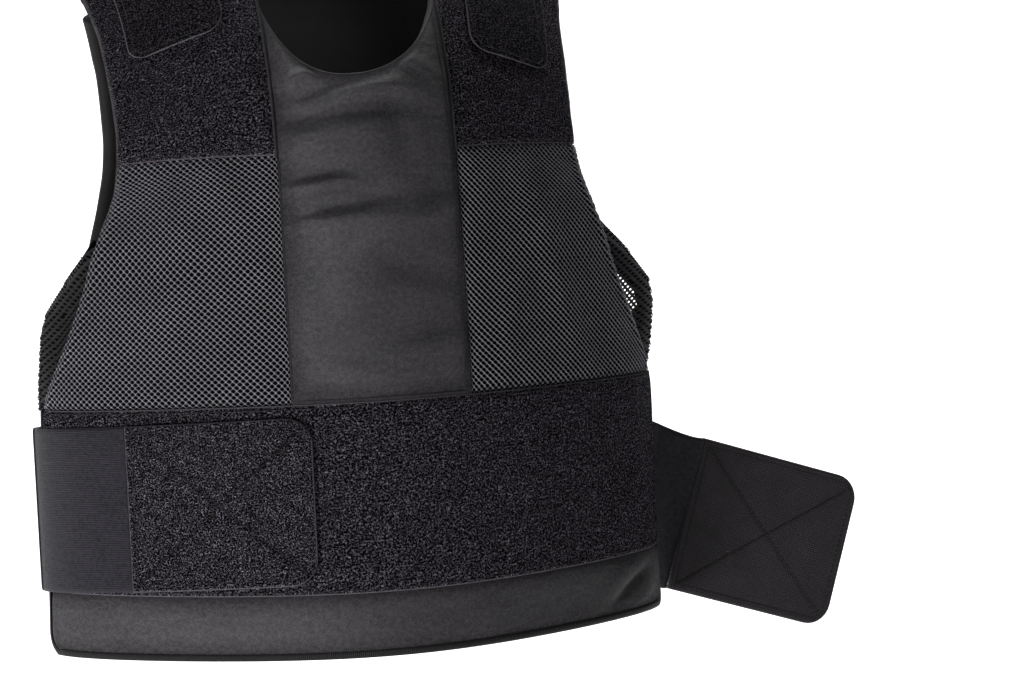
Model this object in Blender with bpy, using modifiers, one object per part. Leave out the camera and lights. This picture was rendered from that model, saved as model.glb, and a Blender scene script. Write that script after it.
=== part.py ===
"""Stab vest, worn form: padded front and back panels, hook-and-loop shoulder and waist straps.

Every cloth piece is laid out as the maker cuts it, in two coordinates along the cloth:
"across" is the distance from the centre line, positive to the wearer's left, and "along" is the
distance up the front from the hem, over the shoulder and down the back. wrap() lays such a point
on the torso surface. The front faces -Y. Sizes are in millimetres until a mesh is written.
"""
import math
from functools import lru_cache

import bmesh
import bpy
import numpy as np

MM = 0.001

# The origin is the shoulder rest: on the centre line, on top of the shoulders.
REST_HEIGHT = 456.0
REST_DEPTH = 5.0

# Heights along the front, from the hem.
HEM = 3.0
BELT_BOTTOM = 40.0
BELT_MIDDLE = 98.0
BELT_TOP = 156.0
MESH_TOP = 308.0
NECK_BOTTOM = 355.0
NECK_TOP = 420.0
FRONT_TOP = 519.0

# Sections of the outer surface: place of the centre line, then half width and depth of the side sweep.
SECTIONS = [
    # name, y, height, half_width, depth
    ("hem", -120.0, 0.0, 198.5, 118.0),
    ("belt_bottom", -121.5, BELT_BOTTOM, 197.0, 119.5),
    ("belt_middle", -124.0, BELT_MIDDLE, 197.0, 121.0),
    ("belt_top", -126.0, BELT_TOP, 197.0, 122.0),
    ("chest", -124.5, 235.0, 186.0, 118.0),
    ("mesh_top", -121.0, 305.0, 172.0, 113.0),
    ("collar", -107.0, 358.0, 170.0, 108.0),
    ("upper", -80.0, 402.0, 170.0, 100.0),
    ("shoulder", -40.0, 440.0, 174.0, 90.0),
    ("ridge", 5.0, 456.0, 178.0, 68.0),
    ("back_shoulder", 50.0, 442.0, 178.0, 74.0),
    ("back_upper", 88.0, 402.0, 176.0, 92.0),
    ("blade", 108.0, 325.0, 178.0, 102.0),
    ("back_middle", 109.0, 240.0, 188.0, 106.0),
    ("back_belt_top", 106.0, BELT_TOP, 197.0, 109.0),
    ("back_belt_bottom", 104.0, BELT_BOTTOM, 197.0, 108.0),
    ("back_hem", 104.0, 0.0, 197.0, 107.0),
]
SECTION_SQUARENESS = 0.052

# How finely the surface is measured: step along, step round, and the angles of the arc table.
ALONG_STEP = 0.5
ANGLE_STEP = 0.01
ARC_ANGLE = 1.75
ARC_STEPS = 70
WAIST_STEPS = 90

# Cloth, padding and gaps.
TWILL = 1.0
LOOP = 1.6
MESH = 1.6
PADDING = 9.0
WING = 2.0
BINDING = 1.2
BINDING_SET_BACK = 0.3
BINDING_GAP = 1.1
BINDING_WIDTH = 6.4
STRAP = 2.6
HOOK = 1.4
ELASTIC = 1.8
LAYER_GAP = 0.5
SEAM_GAP = 0.3
STRAP_GAP = 0.7

# Front panel: the seams that the facings meet on, and the outline.
FRONT_TOP_SLOPE = 6.0
MESH_TOP_RISE = 11.0
MESH_RISE_ROWS = 3
CENTRE_HALF_WIDTH = 57.0
TOP_HALF_WIDTH = 61.0
FRONT_ROWS = [HEM, 7, 14, 26, BELT_BOTTOM, 79, 118, BELT_TOP, 172, 188, 204, 220, 236, 250, 264, 280,
              294, MESH_TOP, 322, 338, 356, 376, 397, NECK_TOP, 442, 465, 490, FRONT_TOP]
FRONT_EDGE = [
    # along, half width of the padded front
    (HEM, 226.0), (7.0, 232.5), (14.0, 236.0), (BELT_TOP, 234.0), (172.0, 225.0), (188.0, 215.0),
    (204.0, 206.0), (220.0, 198.0), (236.0, 191.0), (250.0, 185.5), (264.0, 179.0), (280.0, 172.0),
    (294.0, 167.5), (322.0, 163.5), (345.0, 162.0), (NECK_TOP, 162.0), (FRONT_TOP, 163.0),
]

# Neck scoop: a superellipse whose lowest point lies a little towards the wearer's right.
NECK_HALF_WIDTH = 60.0
NECK_DEPTH = 104.0
NECK_POWER = 2.25
NECK_SHIFT = 7.0

# Back panel, from its top edge to its hem.
BACK_TOP = 556.0
BACK_TOP_SLOPE = 6.0
BACK_NECK_SIDE = 564.0
BACK_NECK_DROP = 22.0
BACK_FADE_ROWS = 7
BACK_BELT_TOP = 866.0
BACK_HEM = 1019.0
BACK_ROWS = [BACK_TOP, BACK_NECK_SIDE, 574, 587, 603, 622, 643, 666, 692, 718, 744, 768, 790, 812,
             836, BACK_BELT_TOP, 905, 944, 982, 1000, 1012, BACK_HEM]
BACK_EDGE = [
    # along, half width of the padded back
    (BACK_TOP, 163.0), (603.0, 160.0), (692.0, 155.0), (718.0, 157.0), (744.0, 163.0), (768.0, 171.0),
    (790.0, 180.0), (812.0, 188.0), (836.0, 193.0), (BACK_BELT_TOP, 195.0), (1000.0, 195.0),
    (1012.0, 191.0), (BACK_HEM, 184.0),
]

# Grid columns of both panels, counted from the centre line, and rows that pieces end on.
CENTRE_COLUMNS = 4
SIDE_SHARES = [0.0, 0.16, 0.32, 0.47, 0.61, 0.74, 0.86, 0.965, 1.0]
SIDE_COLUMNS = len(SIDE_SHARES) - 1
ALL_COLUMNS = CENTRE_COLUMNS + SIDE_COLUMNS
BELT_BOTTOM_ROW = FRONT_ROWS.index(BELT_BOTTOM)
BELT_TOP_ROW = FRONT_ROWS.index(BELT_TOP)
MESH_TOP_ROW = FRONT_ROWS.index(MESH_TOP)
NECK_TOP_ROW = FRONT_ROWS.index(NECK_TOP)
BACK_NECK_ROW = BACK_ROWS.index(BACK_NECK_SIDE)

# Soft mesh wings behind the armholes: rim distance from the centre line and how far it flares.
WING_RIM = [
    # along, rim half width, rim lift
    (158.0, 240.0, -1.0), (172.0, 237.0, 2.0), (188.0, 233.0, 5.0), (204.0, 230.5, 8.0),
    (220.0, 223.0, 8.5), (236.0, 207.5, 4.5), (250.0, 193.0, -0.5), (262.0, 183.5, -4.0),
]
WING_ROOT_GAP = 2.1
WING_ROOT_LIFT = -6.0
WING_DIP = 2.5
WING_COLUMNS = 5
WING_FLARE = {"right": 0.3, "left": 1.2}

# Shoulder straps: centre line of each strap along its run, from the front end to the back end.
STRAP_HALF_WIDTH = 32.0
STRAP_CORNER = 14.0
STRAP_BACK_END = 640.0
STRAP_RUNS = {
    # side: front end, centre at the front end, centre from the lap upwards
    "right": (404.0, -110.0, -111.0),
    "left": (378.0, 106.5, 111.0),
}
STRAP_LAP = 60.0
STRAP_COLUMNS = 4
STRAP_STEP = 12.0
SHOULDER_GAP = 1.1

# Waist straps: an elastic band with a pad of loop on its outside and hook on its inside.
PAD_LENGTH = 118.0
PAD_HEIGHT = 101.6
PAD_CORNER = 16.0
CLOSED_PAD_END = 45.0
CLOSED_STRAP_FALL = 0.016
CLOSED_PAD_STEP = 12.0
OPEN_PAD_STEP = 24.0
BAND_COLUMNS = 14
BAND_ROWS = 6
CORNER_STEPS = 4
ELASTIC_GAP = 1.1
ELASTIC_BACK_END = 145.0
ELASTIC_SEWN_STEPS = 5
ELASTIC_SEWN_STEP = 12.0
OPEN_PAD_START = (221.7, 6.2, 60.9)
OPEN_PAD_YAW = math.radians(7.6)
OPEN_PAD_DROOP = math.radians(18.2)
OPEN_BEND_RADIUS = 9.0
OPEN_BEND_Y = 14.0
OPEN_BEND_STEPS = 8
OPEN_ROWS = 4
OPEN_ROOT_HEIGHT = 90.0

# Base colour and roughness of each cloth.
CLOTHS = {
    "twill": ((0.030, 0.030, 0.032, 1.0), 0.80),
    "loop": ((0.010, 0.010, 0.011, 1.0), 0.95),
    "hook": ((0.028, 0.027, 0.028, 1.0), 0.85),
    "mesh": ((0.045, 0.046, 0.052, 1.0), 0.75),
    "elastic": ((0.008, 0.009, 0.016, 1.0), 0.60),
    "carrier": ((0.014, 0.014, 0.016, 1.0), 0.80),
    "binding": ((0.010, 0.010, 0.011, 1.0), 0.70),
}


def profile_tables():
    """Distance along the centre line and the four columns of each section."""
    columns = np.array([row[1:] for row in SECTIONS])
    steps = np.hypot(np.diff(columns[:, 0]), np.diff(columns[:, 1]))
    return np.concatenate([[0.0], np.cumsum(steps)]), columns


ALONG, PROFILE = profile_tables()
SLOPES = np.gradient(PROFILE, ALONG, axis=0)


def profile(along):
    """y, height, half width and depth at a distance along the centre line, smoothly joined."""
    i = int(np.clip(np.searchsorted(ALONG, along) - 1, 0, len(ALONG) - 2))
    span = ALONG[i + 1] - ALONG[i]
    u = (along - ALONG[i]) / span
    return ((2 * u ** 3 - 3 * u ** 2 + 1) * PROFILE[i] + (u ** 3 - 2 * u ** 2 + u) * span * SLOPES[i]
            + (3 * u ** 2 - 2 * u ** 3) * PROFILE[i + 1] + (u ** 3 - u ** 2) * span * SLOPES[i + 1])


def sweep(angle, half_width, depth):
    """Sideways reach and fall of a section at an angle from the centre line."""
    k = -SECTION_SQUARENESS
    reach = half_width * (np.sin(angle) + k * np.sin(3 * angle)) / (1 - k)
    fall = depth * (1 - (np.cos(angle) - k * np.cos(3 * angle)) / (1 - k))
    return reach, fall


def surface(angle, along):
    """Point of the torso surface at an angle round the body; angle may be an array."""
    y, height, half_width, depth = profile(along)
    before, after = profile(along - ALONG_STEP), profile(along + ALONG_STEP)
    inward = np.array([after[1] - before[1], before[0] - after[0]])
    inward /= np.hypot(*inward)
    reach, fall = sweep(angle, half_width, depth)
    return np.stack([reach, y + fall * inward[0], height + fall * inward[1]], axis=-1)


@lru_cache(maxsize=None)
def arc_table(along):
    """Angles round the body and the cloth distance that each of them takes."""
    angles = np.linspace(0.0, ARC_ANGLE, ARC_STEPS + 1)
    steps = np.linalg.norm(np.diff(surface(angles, along), axis=0), axis=1)
    return angles, np.concatenate([[0.0], np.cumsum(steps)])


def wrap(across, along, lift=0.0):
    """Lays a cloth point on the torso, raised along the outward normal by lift."""
    angles, distances = arc_table(along)
    angle = math.copysign(np.interp(abs(across), distances, angles), across)
    point = surface(angle, along)
    sideways = surface(angle + ANGLE_STEP, along) - surface(angle - ANGLE_STEP, along)
    upward = surface(angle, along + ALONG_STEP) - surface(angle, along - ALONG_STEP)
    normal = np.cross(sideways, upward)
    return point + normal / np.linalg.norm(normal) * lift


def table(rows, column=1):
    """Reads one column of a table as a function of its first column."""
    keys = [row[0] for row in rows]
    values = [row[column] for row in rows]
    return lambda key: float(np.interp(key, keys, values))


front_edge = table(FRONT_EDGE)
back_edge = table(BACK_EDGE)


def cloth_material(cloth):
    """One material for each cloth."""
    material = bpy.data.materials.get(cloth) or bpy.data.materials.new(cloth)
    material.use_nodes = True
    shader = material.node_tree.nodes["Principled BSDF"]
    colour, roughness = CLOTHS[cloth]
    shader.inputs["Base Color"].default_value = colour
    shader.inputs["Roughness"].default_value = roughness
    shader.inputs["Metallic"].default_value = 0.0
    return material


def sheet(collection, name, cloth, columns, rows, place, thickness, keep=None):
    """A cloth piece: a grid laid by place(column, row), then given its thickness inwards.

    keep(column, row) tells which cells stay, counted from the first column and row.
    """
    mesh = bpy.data.meshes.new(name)
    grid = bmesh.new()
    bmesh.ops.create_grid(grid, x_segments=columns, y_segments=rows, size=0.5)
    cells = {face: (int((face.calc_center_median().x + 0.5) * columns),
                    int((face.calc_center_median().y + 0.5) * rows)) for face in grid.faces}
    for vertex in grid.verts:
        column = round((vertex.co.x + 0.5) * columns)
        row = round((vertex.co.y + 0.5) * rows)
        x, y, z = place(column, row)
        vertex.co = (x * MM, (y - REST_DEPTH) * MM, (z - REST_HEIGHT) * MM)
    if keep:
        dropped = [face for face, cell in cells.items() if not keep(*cell)]
        bmesh.ops.delete(grid, geom=dropped, context="FACES")
    grid.normal_update()
    grid.to_mesh(mesh)
    grid.free()
    mesh.shade_smooth()
    piece = bpy.data.objects.new(name, mesh)
    piece.data.materials.append(cloth_material(cloth))
    collection.objects.link(piece)
    wall = piece.modifiers.new("cloth_thickness", "SOLIDIFY")
    wall.thickness = thickness * MM
    wall.offset = -1.0
    wall.use_even_offset = True
    return piece


def neck_height(across):
    """Height of the front neck edge above the hem, along the cloth."""
    shift = -NECK_SHIFT * (1.0 - (across / CENTRE_HALF_WIDTH) ** 2)
    share = min(abs(across - shift) / NECK_HALF_WIDTH, 1.0)
    return NECK_BOTTOM + NECK_DEPTH * (1.0 - (1.0 - share ** NECK_POWER) ** (1.0 / NECK_POWER))


def front_point(column, row):
    """Across and along of a grid point of the front; column runs from -12 to 12."""
    along = float(FRONT_ROWS[row])
    count = abs(column)
    if count <= CENTRE_COLUMNS:
        inner = CENTRE_HALF_WIDTH
        if row > NECK_TOP_ROW:
            climb = (along - NECK_TOP) / (FRONT_TOP - NECK_TOP)
            inner += (TOP_HALF_WIDTH - CENTRE_HALF_WIDTH) * climb
        across = math.copysign(inner * count / CENTRE_COLUMNS, column)
        if MESH_TOP_ROW < row <= NECK_TOP_ROW:
            share = (along - MESH_TOP) / (NECK_TOP - MESH_TOP)
            top = neck_height(across) if count < CENTRE_COLUMNS else NECK_TOP
            along = MESH_TOP + share * (top - MESH_TOP)
        return across, along
    inner = front_point(CENTRE_COLUMNS, row)[0]
    share = SIDE_SHARES[count - CENTRE_COLUMNS]
    climb = max(0.0, (along - NECK_TOP) / (FRONT_TOP - NECK_TOP))
    rise = max(0.0, 1.0 - abs(row - MESH_TOP_ROW) / MESH_RISE_ROWS)
    edge = front_edge(along + MESH_TOP_RISE * rise)
    across = math.copysign(inner + share * (edge - inner), column)
    return across, along + share * (MESH_TOP_RISE * rise - FRONT_TOP_SLOPE * climb)


def front_cloth(collection, name, cloth, thickness, column_range, row_range):
    """A facing on the front: a block of the front grid, set back by half a seam gap all round.

    All facings lie on the carrier, so a thinner cloth ends up lower.
    """
    first, last = column_range
    low, high = row_range

    def place(column, row):
        across, along = front_point(first + column, low + row)
        inset = SEAM_GAP / 2
        across += inset if column == 0 else -inset if column == last - first else 0.0
        along += inset if row == 0 else -inset if row == high - low else 0.0
        return wrap(across, along, thickness - LOOP)

    return sheet(collection, name, cloth, last - first, high - low, place, thickness)


def front_carrier(collection):
    """Padded body of the front, open at the neck, under all the facings."""
    lift = -(LOOP + LAYER_GAP)

    def place(column, row):
        across, along = front_point(column - ALL_COLUMNS, row)
        return wrap(across, along, lift)

    def keep(column, row):
        in_centre = SIDE_COLUMNS <= column < SIDE_COLUMNS + 2 * CENTRE_COLUMNS
        return not (in_centre and row >= NECK_TOP_ROW)

    rows = len(FRONT_ROWS) - 1
    return sheet(collection, "front_carrier", "carrier", 2 * ALL_COLUMNS, rows, place, PADDING, keep)


def front_facings(collection):
    """Twill centre, mesh, loop patches and hem that are sewn on the front carrier."""
    belt_low, belt_high, top = BELT_BOTTOM_ROW, BELT_TOP_ROW, len(FRONT_ROWS) - 1
    inner, outer = CENTRE_COLUMNS, ALL_COLUMNS
    front_cloth(collection, "front_centre_facing", "twill", TWILL, (-inner, inner), (belt_high, NECK_TOP_ROW))
    front_cloth(collection, "front_belly_loop", "loop", LOOP, (-outer, outer), (belt_low, belt_high))
    front_cloth(collection, "front_hem_facing", "twill", TWILL, (-outer, outer), (0, belt_low))
    for side, columns in (("right", (-outer, -inner)), ("left", (inner, outer))):
        front_cloth(collection, f"front_mesh_{side}", "mesh", MESH, columns, (belt_high, MESH_TOP_ROW))
        front_cloth(collection, f"front_shoulder_loop_{side}", "loop", LOOP, columns, (MESH_TOP_ROW, top))


def armhole_wing(collection, side):
    """Soft mesh flange that runs on past the padded edge, dips and flares out to its rim."""
    sign = -1.0 if side == "right" else 1.0
    rim_half_width, rim_lift = table(WING_RIM), table(WING_RIM, 2)

    def place(column, row):
        along = WING_RIM[row][0]
        share = column / WING_COLUMNS
        if side == "right":
            share = 1.0 - share
        root = front_edge(along) + WING_ROOT_GAP
        across = root + share * (rim_half_width(along) - root)
        lift = WING_ROOT_LIFT + share * (rim_lift(along) * WING_FLARE[side] - WING_ROOT_LIFT)
        lift -= WING_DIP * math.sin(math.pi * share)
        return wrap(sign * across, along, lift + WING / 2)

    return sheet(collection, f"armhole_wing_{side}", "mesh", WING_COLUMNS, len(WING_RIM) - 1, place, WING)


def back_point(column, row):
    """Across and along of a grid point of the back; column runs from -12 to 12."""
    along = float(BACK_ROWS[row])
    count = abs(column)
    fade = min(1.0, max(0.0, 1.0 - (row - BACK_NECK_ROW) / BACK_FADE_ROWS))
    if count <= CENTRE_COLUMNS:
        across = math.copysign(TOP_HALF_WIDTH * count / CENTRE_COLUMNS, column)
        scoop = 1.0 - (count / CENTRE_COLUMNS) ** 3
        return across, along + BACK_NECK_DROP * scoop * fade
    share = SIDE_SHARES[count - CENTRE_COLUMNS]
    across = math.copysign(TOP_HALF_WIDTH + share * (back_edge(along) - TOP_HALF_WIDTH), column)
    return across, along + BACK_TOP_SLOPE * share * fade


def back_panel(collection):
    """Padded back, plain, with a shallow neck scoop."""
    def place(column, row):
        return wrap(*back_point(column - ALL_COLUMNS, row))

    def keep(column, row):
        in_centre = SIDE_COLUMNS <= column < SIDE_COLUMNS + 2 * CENTRE_COLUMNS
        return not (in_centre and row < BACK_NECK_ROW)

    rows = len(BACK_ROWS) - 1
    return sheet(collection, "back_panel", "carrier", 2 * ALL_COLUMNS, rows, place, PADDING, keep)


def binding(collection, name, point, rows):
    """Tape round the bottom edge of a panel, from one side round to the other.

    point(column, row) is the panel's own grid; rows run from the top of the tape down to the hem.
    """
    side = [(-ALL_COLUMNS, row) for row in rows]
    bottom = [(column, rows[-1]) for column in range(1 - ALL_COLUMNS, ALL_COLUMNS)]
    route = [point(*cell) for cell in side + bottom + [(ALL_COLUMNS, row) for row in reversed(rows)]]
    away = BINDING_GAP + BINDING
    down = -1.0 if point(0, rows[-1])[1] < point(0, rows[0])[1] else 1.0

    def place(column, row):
        before, after = route[max(column - 1, 0)], route[min(column + 1, len(route) - 1)]
        step = np.subtract(after, before)
        outward = np.array([step[1], -step[0]]) / np.hypot(*step) * -down
        across, along = np.add(route[column], outward * away)
        share = row if down < 0 else 1 - row
        return wrap(across, along, -BINDING_SET_BACK - BINDING_WIDTH * (1 - share))

    return sheet(collection, name, "binding", len(route) - 1, 1, place, BINDING)


def bindings(collection):
    """Edge tapes of the front and of the back, from the belt down and along the hem."""
    front_rows = list(range(BELT_TOP_ROW, -1, -1))
    binding(collection, "front_hem_binding", front_point, front_rows)
    back_rows = list(range(BACK_ROWS.index(BACK_BELT_TOP), len(BACK_ROWS)))
    binding(collection, "back_hem_binding", back_point, back_rows)


def end_half_width(distance, half, corner):
    """Half width of a band at a distance from its end, with two rounded corners."""
    if distance >= corner:
        return half
    return half - corner + math.sqrt(corner ** 2 - (corner - distance) ** 2)


def rounded_stations(length, corner, step):
    """Places along a band from its rounded end, close together on the corners."""
    stations = [corner * (1.0 - math.cos(math.pi / 2 * i / CORNER_STEPS)) for i in range(CORNER_STEPS)]
    count = max(1, round((length - corner) / step))
    return stations + [corner + (length - corner) * i / count for i in range(count + 1)]


def shoulder_strap(collection, side):
    """Band from the back panel over the shoulder, with its hook end on the front loop."""
    front_end, end_centre, centre = STRAP_RUNS[side]
    stations = rounded_stations(STRAP_BACK_END - front_end, STRAP_CORNER, STRAP_STEP)

    def place(column, row):
        distance = stations[row]
        half = end_half_width(distance, STRAP_HALF_WIDTH, STRAP_CORNER)
        lap = min(distance / STRAP_LAP, 1.0)
        middle = end_centre + (centre - end_centre) * lap
        across = middle + half * (2.0 * column / STRAP_COLUMNS - 1.0)
        return wrap(across, front_end + distance, SHOULDER_GAP + STRAP)

    rows = len(stations) - 1
    return sheet(collection, f"shoulder_strap_{side}", "loop", STRAP_COLUMNS, rows, place, STRAP)


@lru_cache(maxsize=None)
def waist_section():
    """Level line round the middle of the belt: its front, its back and their quarter arc lengths."""
    front = profile(BELT_MIDDLE)
    back = profile(ALONG[-1] - BELT_MIDDLE)
    angles = np.linspace(0.0, math.pi / 2, WAIST_STEPS + 1)
    arcs = []
    for y, _, half_width, depth in (front, back):
        reach, fall = sweep(angles, half_width, depth)
        steps = np.hypot(np.diff(reach), np.diff(fall))
        arcs.append(np.concatenate([[0.0], np.cumsum(steps)]))
    return front, back, angles, arcs


def waist_point(distance, height, lift):
    """Point on the wearer's right at a distance round the waist from the front centre."""
    front, back, angles, (front_arc, back_arc) = waist_section()
    if distance <= front_arc[-1]:
        shape, direction = front, 1.0
        angle = np.interp(distance, front_arc, angles)
    else:
        shape, direction = back, -1.0
        angle = np.interp(front_arc[-1] + back_arc[-1] - distance, back_arc, angles)
    rise = profile(height)[0] - front[0] if direction > 0 else 0.0
    y, _, half_width, depth = shape
    spots = [sweep(angle + step, half_width, depth) for step in (-ANGLE_STEP, 0.0, ANGLE_STEP)]
    tangent = np.subtract(spots[2], spots[0])
    normal = np.array([tangent[1], -tangent[0]]) / np.hypot(*tangent)
    reach = spots[1][0] + normal[0] * lift
    fall = spots[1][1] + normal[1] * lift
    return np.array([-reach, y + rise * math.cos(angle) + direction * fall, height])


def closed_band(collection, name, cloth, thickness, lift, start, end, rounded):
    """Part of the fastened waist strap between two distances round the waist."""
    length = end - start
    stations = [length * i / BAND_COLUMNS for i in range(BAND_COLUMNS + 1)]
    if rounded:
        stations = rounded_stations(length, PAD_CORNER, CLOSED_PAD_STEP)

    def place(column, row):
        distance = stations[len(stations) - 1 - column]
        half = end_half_width(distance, PAD_HEIGHT / 2, PAD_CORNER) if rounded else PAD_HEIGHT / 2
        place_round = start + distance
        centre = BELT_MIDDLE - CLOSED_STRAP_FALL * (place_round - CLOSED_PAD_END)
        height = centre + half * (2.0 * row / BAND_ROWS - 1.0)
        return waist_point(place_round, height, lift + thickness)

    return sheet(collection, name, cloth, len(stations) - 1, BAND_ROWS, place, thickness)


def closed_waist_strap(collection):
    """Wearer's right: pulled round the waist and pressed on the belly loop."""
    seam = CLOSED_PAD_END + PAD_LENGTH
    _, _, _, (front_arc, back_arc) = waist_section()
    back_end = front_arc[-1] + back_arc[-1] - ELASTIC_BACK_END
    closed_band(collection, "waist_hook_right", "hook", HOOK, STRAP_GAP, CLOSED_PAD_END, seam, True)
    closed_band(collection, "waist_loop_right", "loop", LOOP, STRAP_GAP + HOOK + SEAM_GAP,
                CLOSED_PAD_END, seam, True)
    closed_band(collection, "waist_elastic_right", "elastic", ELASTIC, ELASTIC_GAP,
                seam + SEAM_GAP, back_end, False)


def open_pad(collection, name, cloth, thickness, lift):
    """One layer of the open pad: a flat plate that hangs out to the wearer's left."""
    stations = rounded_stations(PAD_LENGTH, PAD_CORNER, OPEN_PAD_STEP)
    heading = np.array([math.cos(OPEN_PAD_YAW), math.sin(OPEN_PAD_YAW), 0.0])
    run = heading * math.cos(OPEN_PAD_DROOP) - np.array([0.0, 0.0, math.sin(OPEN_PAD_DROOP)])
    up = heading * math.sin(OPEN_PAD_DROOP) + np.array([0.0, 0.0, math.cos(OPEN_PAD_DROOP)])
    forward = np.cross(run, up)

    def place(column, row):
        distance = stations[len(stations) - 1 - column]
        half = end_half_width(distance, PAD_HEIGHT / 2, PAD_CORNER)
        spot = np.array(OPEN_PAD_START) + run * (PAD_LENGTH - distance) + forward * lift
        return spot + up * half * (2.0 * row / OPEN_ROWS - 1.0)

    return sheet(collection, name, cloth, len(stations) - 1, OPEN_ROWS, place, thickness)


def open_elastic_route():
    """Plan of the open elastic's middle, from its sewn end on the back round to the open pad."""
    _, _, _, (front_arc, back_arc) = waist_section()
    sewn_end = front_arc[-1] + back_arc[-1] - ELASTIC_BACK_END
    route = []
    for i in range(ELASTIC_SEWN_STEPS + 1):
        spot = waist_point(sewn_end - ELASTIC_SEWN_STEP * i, OPEN_ROOT_HEIGHT, ELASTIC_GAP + ELASTIC / 2)
        route.append((-spot[0], spot[1]))
    bend_x = route[-1][0]
    for i in range(OPEN_BEND_STEPS + 1):
        angle = math.pi + (math.pi / 2 + OPEN_PAD_YAW) * i / OPEN_BEND_STEPS
        route.append((bend_x + OPEN_BEND_RADIUS * (1 + math.cos(angle)),
                      OPEN_BEND_Y + OPEN_BEND_RADIUS * math.sin(angle)))
    heading = np.array([math.cos(OPEN_PAD_YAW), math.sin(OPEN_PAD_YAW)])
    seam = np.array(OPEN_PAD_START[:2]) - heading * LAYER_GAP
    route.append(tuple((np.array(route[-1]) + seam) / 2))
    route.append(tuple(seam))
    return np.array(route)


def open_elastic(collection):
    """Band from the back panel round to the open pad, with its bend beside the panel's edge."""
    route = open_elastic_route()
    distances = np.concatenate([[0.0], np.cumsum(np.hypot(*np.diff(route, axis=0).T))])
    free = distances[ELASTIC_SEWN_STEPS]
    end_height = OPEN_PAD_START[2]

    def place(column, row):
        share = max(0.0, (distances[column] - free) / (distances[-1] - free))
        droop = OPEN_PAD_DROOP * (1.0 - (1.0 - share) ** 2)
        centre = end_height + (OPEN_ROOT_HEIGHT - end_height) * (1.0 - share) ** 1.5
        before, after = route[max(column - 1, 0)], route[min(column + 1, len(route) - 1)]
        ahead = (after - before) / np.hypot(*(after - before))
        inner_side = np.array([ahead[1], -ahead[0]])
        up = PAD_HEIGHT / 2 * (2.0 * row / OPEN_ROWS - 1.0)
        spot = route[column] + ahead * math.sin(droop) * up + inner_side * ELASTIC / 2
        return np.array([spot[0], spot[1], centre + math.cos(droop) * up])

    return sheet(collection, "waist_elastic_left", "elastic", len(route) - 1, OPEN_ROWS, place, ELASTIC)


def open_waist_strap(collection):
    """Wearer's left: peeled off and hanging open, with its hook face to the front."""
    total = HOOK + SEAM_GAP + LOOP
    open_pad(collection, "waist_hook_left", "hook", HOOK, total / 2)
    open_pad(collection, "waist_loop_left", "loop", LOOP, total / 2 - HOOK - SEAM_GAP)
    open_elastic(collection)


def build():
    """Clears the scene and makes every sub-part."""
    for existing in list(bpy.data.objects):
        bpy.data.objects.remove(existing, do_unlink=True)
    collection = bpy.data.collections.new("stab_vest")
    bpy.context.scene.collection.children.link(collection)
    front_carrier(collection)
    front_facings(collection)
    back_panel(collection)
    bindings(collection)
    for side in ("right", "left"):
        armhole_wing(collection, side)
        shoulder_strap(collection, side)
    closed_waist_strap(collection)
    open_waist_strap(collection)


build()
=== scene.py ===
"""Looks of the stab vest: cloth, padding, seams and studio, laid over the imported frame.

Cloth is laid out in the cutter's own coordinates, in millimetres: "across" from the centre line,
positive to the wearer's left, and "along" up the front from the hem, over the shoulder and down
the back. Torso.lay() puts such a point on the body. "lift" is the height above the outer surface.
"""
import logging
import math
from dataclasses import dataclass, field
from enum import Enum
from typing import Any, Callable, Sequence

import bmesh
import bpy
import numpy as np
from bpy.types import Material, Mesh, Node, NodeSocket, NodeTree, Object
from mathutils import Matrix, Vector


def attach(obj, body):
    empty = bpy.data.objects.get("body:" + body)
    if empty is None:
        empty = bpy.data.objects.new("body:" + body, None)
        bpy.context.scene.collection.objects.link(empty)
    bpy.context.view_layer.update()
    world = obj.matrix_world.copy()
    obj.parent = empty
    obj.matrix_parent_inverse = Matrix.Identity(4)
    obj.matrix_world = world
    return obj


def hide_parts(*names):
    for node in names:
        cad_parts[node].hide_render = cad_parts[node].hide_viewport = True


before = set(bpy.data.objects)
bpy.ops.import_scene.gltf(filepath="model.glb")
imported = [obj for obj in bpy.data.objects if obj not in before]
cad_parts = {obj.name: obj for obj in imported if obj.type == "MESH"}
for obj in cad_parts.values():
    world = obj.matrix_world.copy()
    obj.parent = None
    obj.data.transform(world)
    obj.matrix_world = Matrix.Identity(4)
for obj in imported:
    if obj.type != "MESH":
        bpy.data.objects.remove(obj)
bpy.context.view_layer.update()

log = logging.getLogger("stab_vest")
Array = np.ndarray

MM = 0.001
REST = np.array([0.0, 5.0, 456.0])
CLOTH_UV = "cloth"
RIM = "rim"
PRESSED_AND_SHADED = "pressed"
HEADING = "heading"
FACING = "facing"
CREST_SHADE = "crest"

# Sections of the outer surface, from the front hem over the shoulders to the back hem.
SECTIONS = (
    # name, y, height, half_width, depth
    ("hem", -120.0, 0.0, 198.5, 118.0),
    ("belt_bottom", -121.5, 40.0, 197.0, 119.5),
    ("belt_middle", -124.0, 98.0, 197.0, 121.0),
    ("belt_top", -126.0, 156.0, 197.0, 122.0),
    ("chest", -124.5, 235.0, 186.0, 118.0),
    ("mesh_top", -121.0, 305.0, 172.0, 113.0),
    ("collar", -107.0, 358.0, 170.0, 108.0),
    ("upper", -80.0, 402.0, 170.0, 100.0),
    ("shoulder", -40.0, 440.0, 174.0, 90.0),
    ("ridge", 5.0, 456.0, 178.0, 68.0),
    ("back_shoulder", 50.0, 442.0, 178.0, 74.0),
    ("back_upper", 88.0, 402.0, 176.0, 92.0),
    ("blade", 108.0, 325.0, 178.0, 102.0),
    ("back_middle", 109.0, 240.0, 188.0, 106.0),
    ("back_belt_top", 106.0, 156.0, 197.0, 109.0),
    ("back_belt_bottom", 104.0, 40.0, 197.0, 108.0),
    ("back_hem", 104.0, 0.0, 197.0, 107.0),
)

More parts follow.
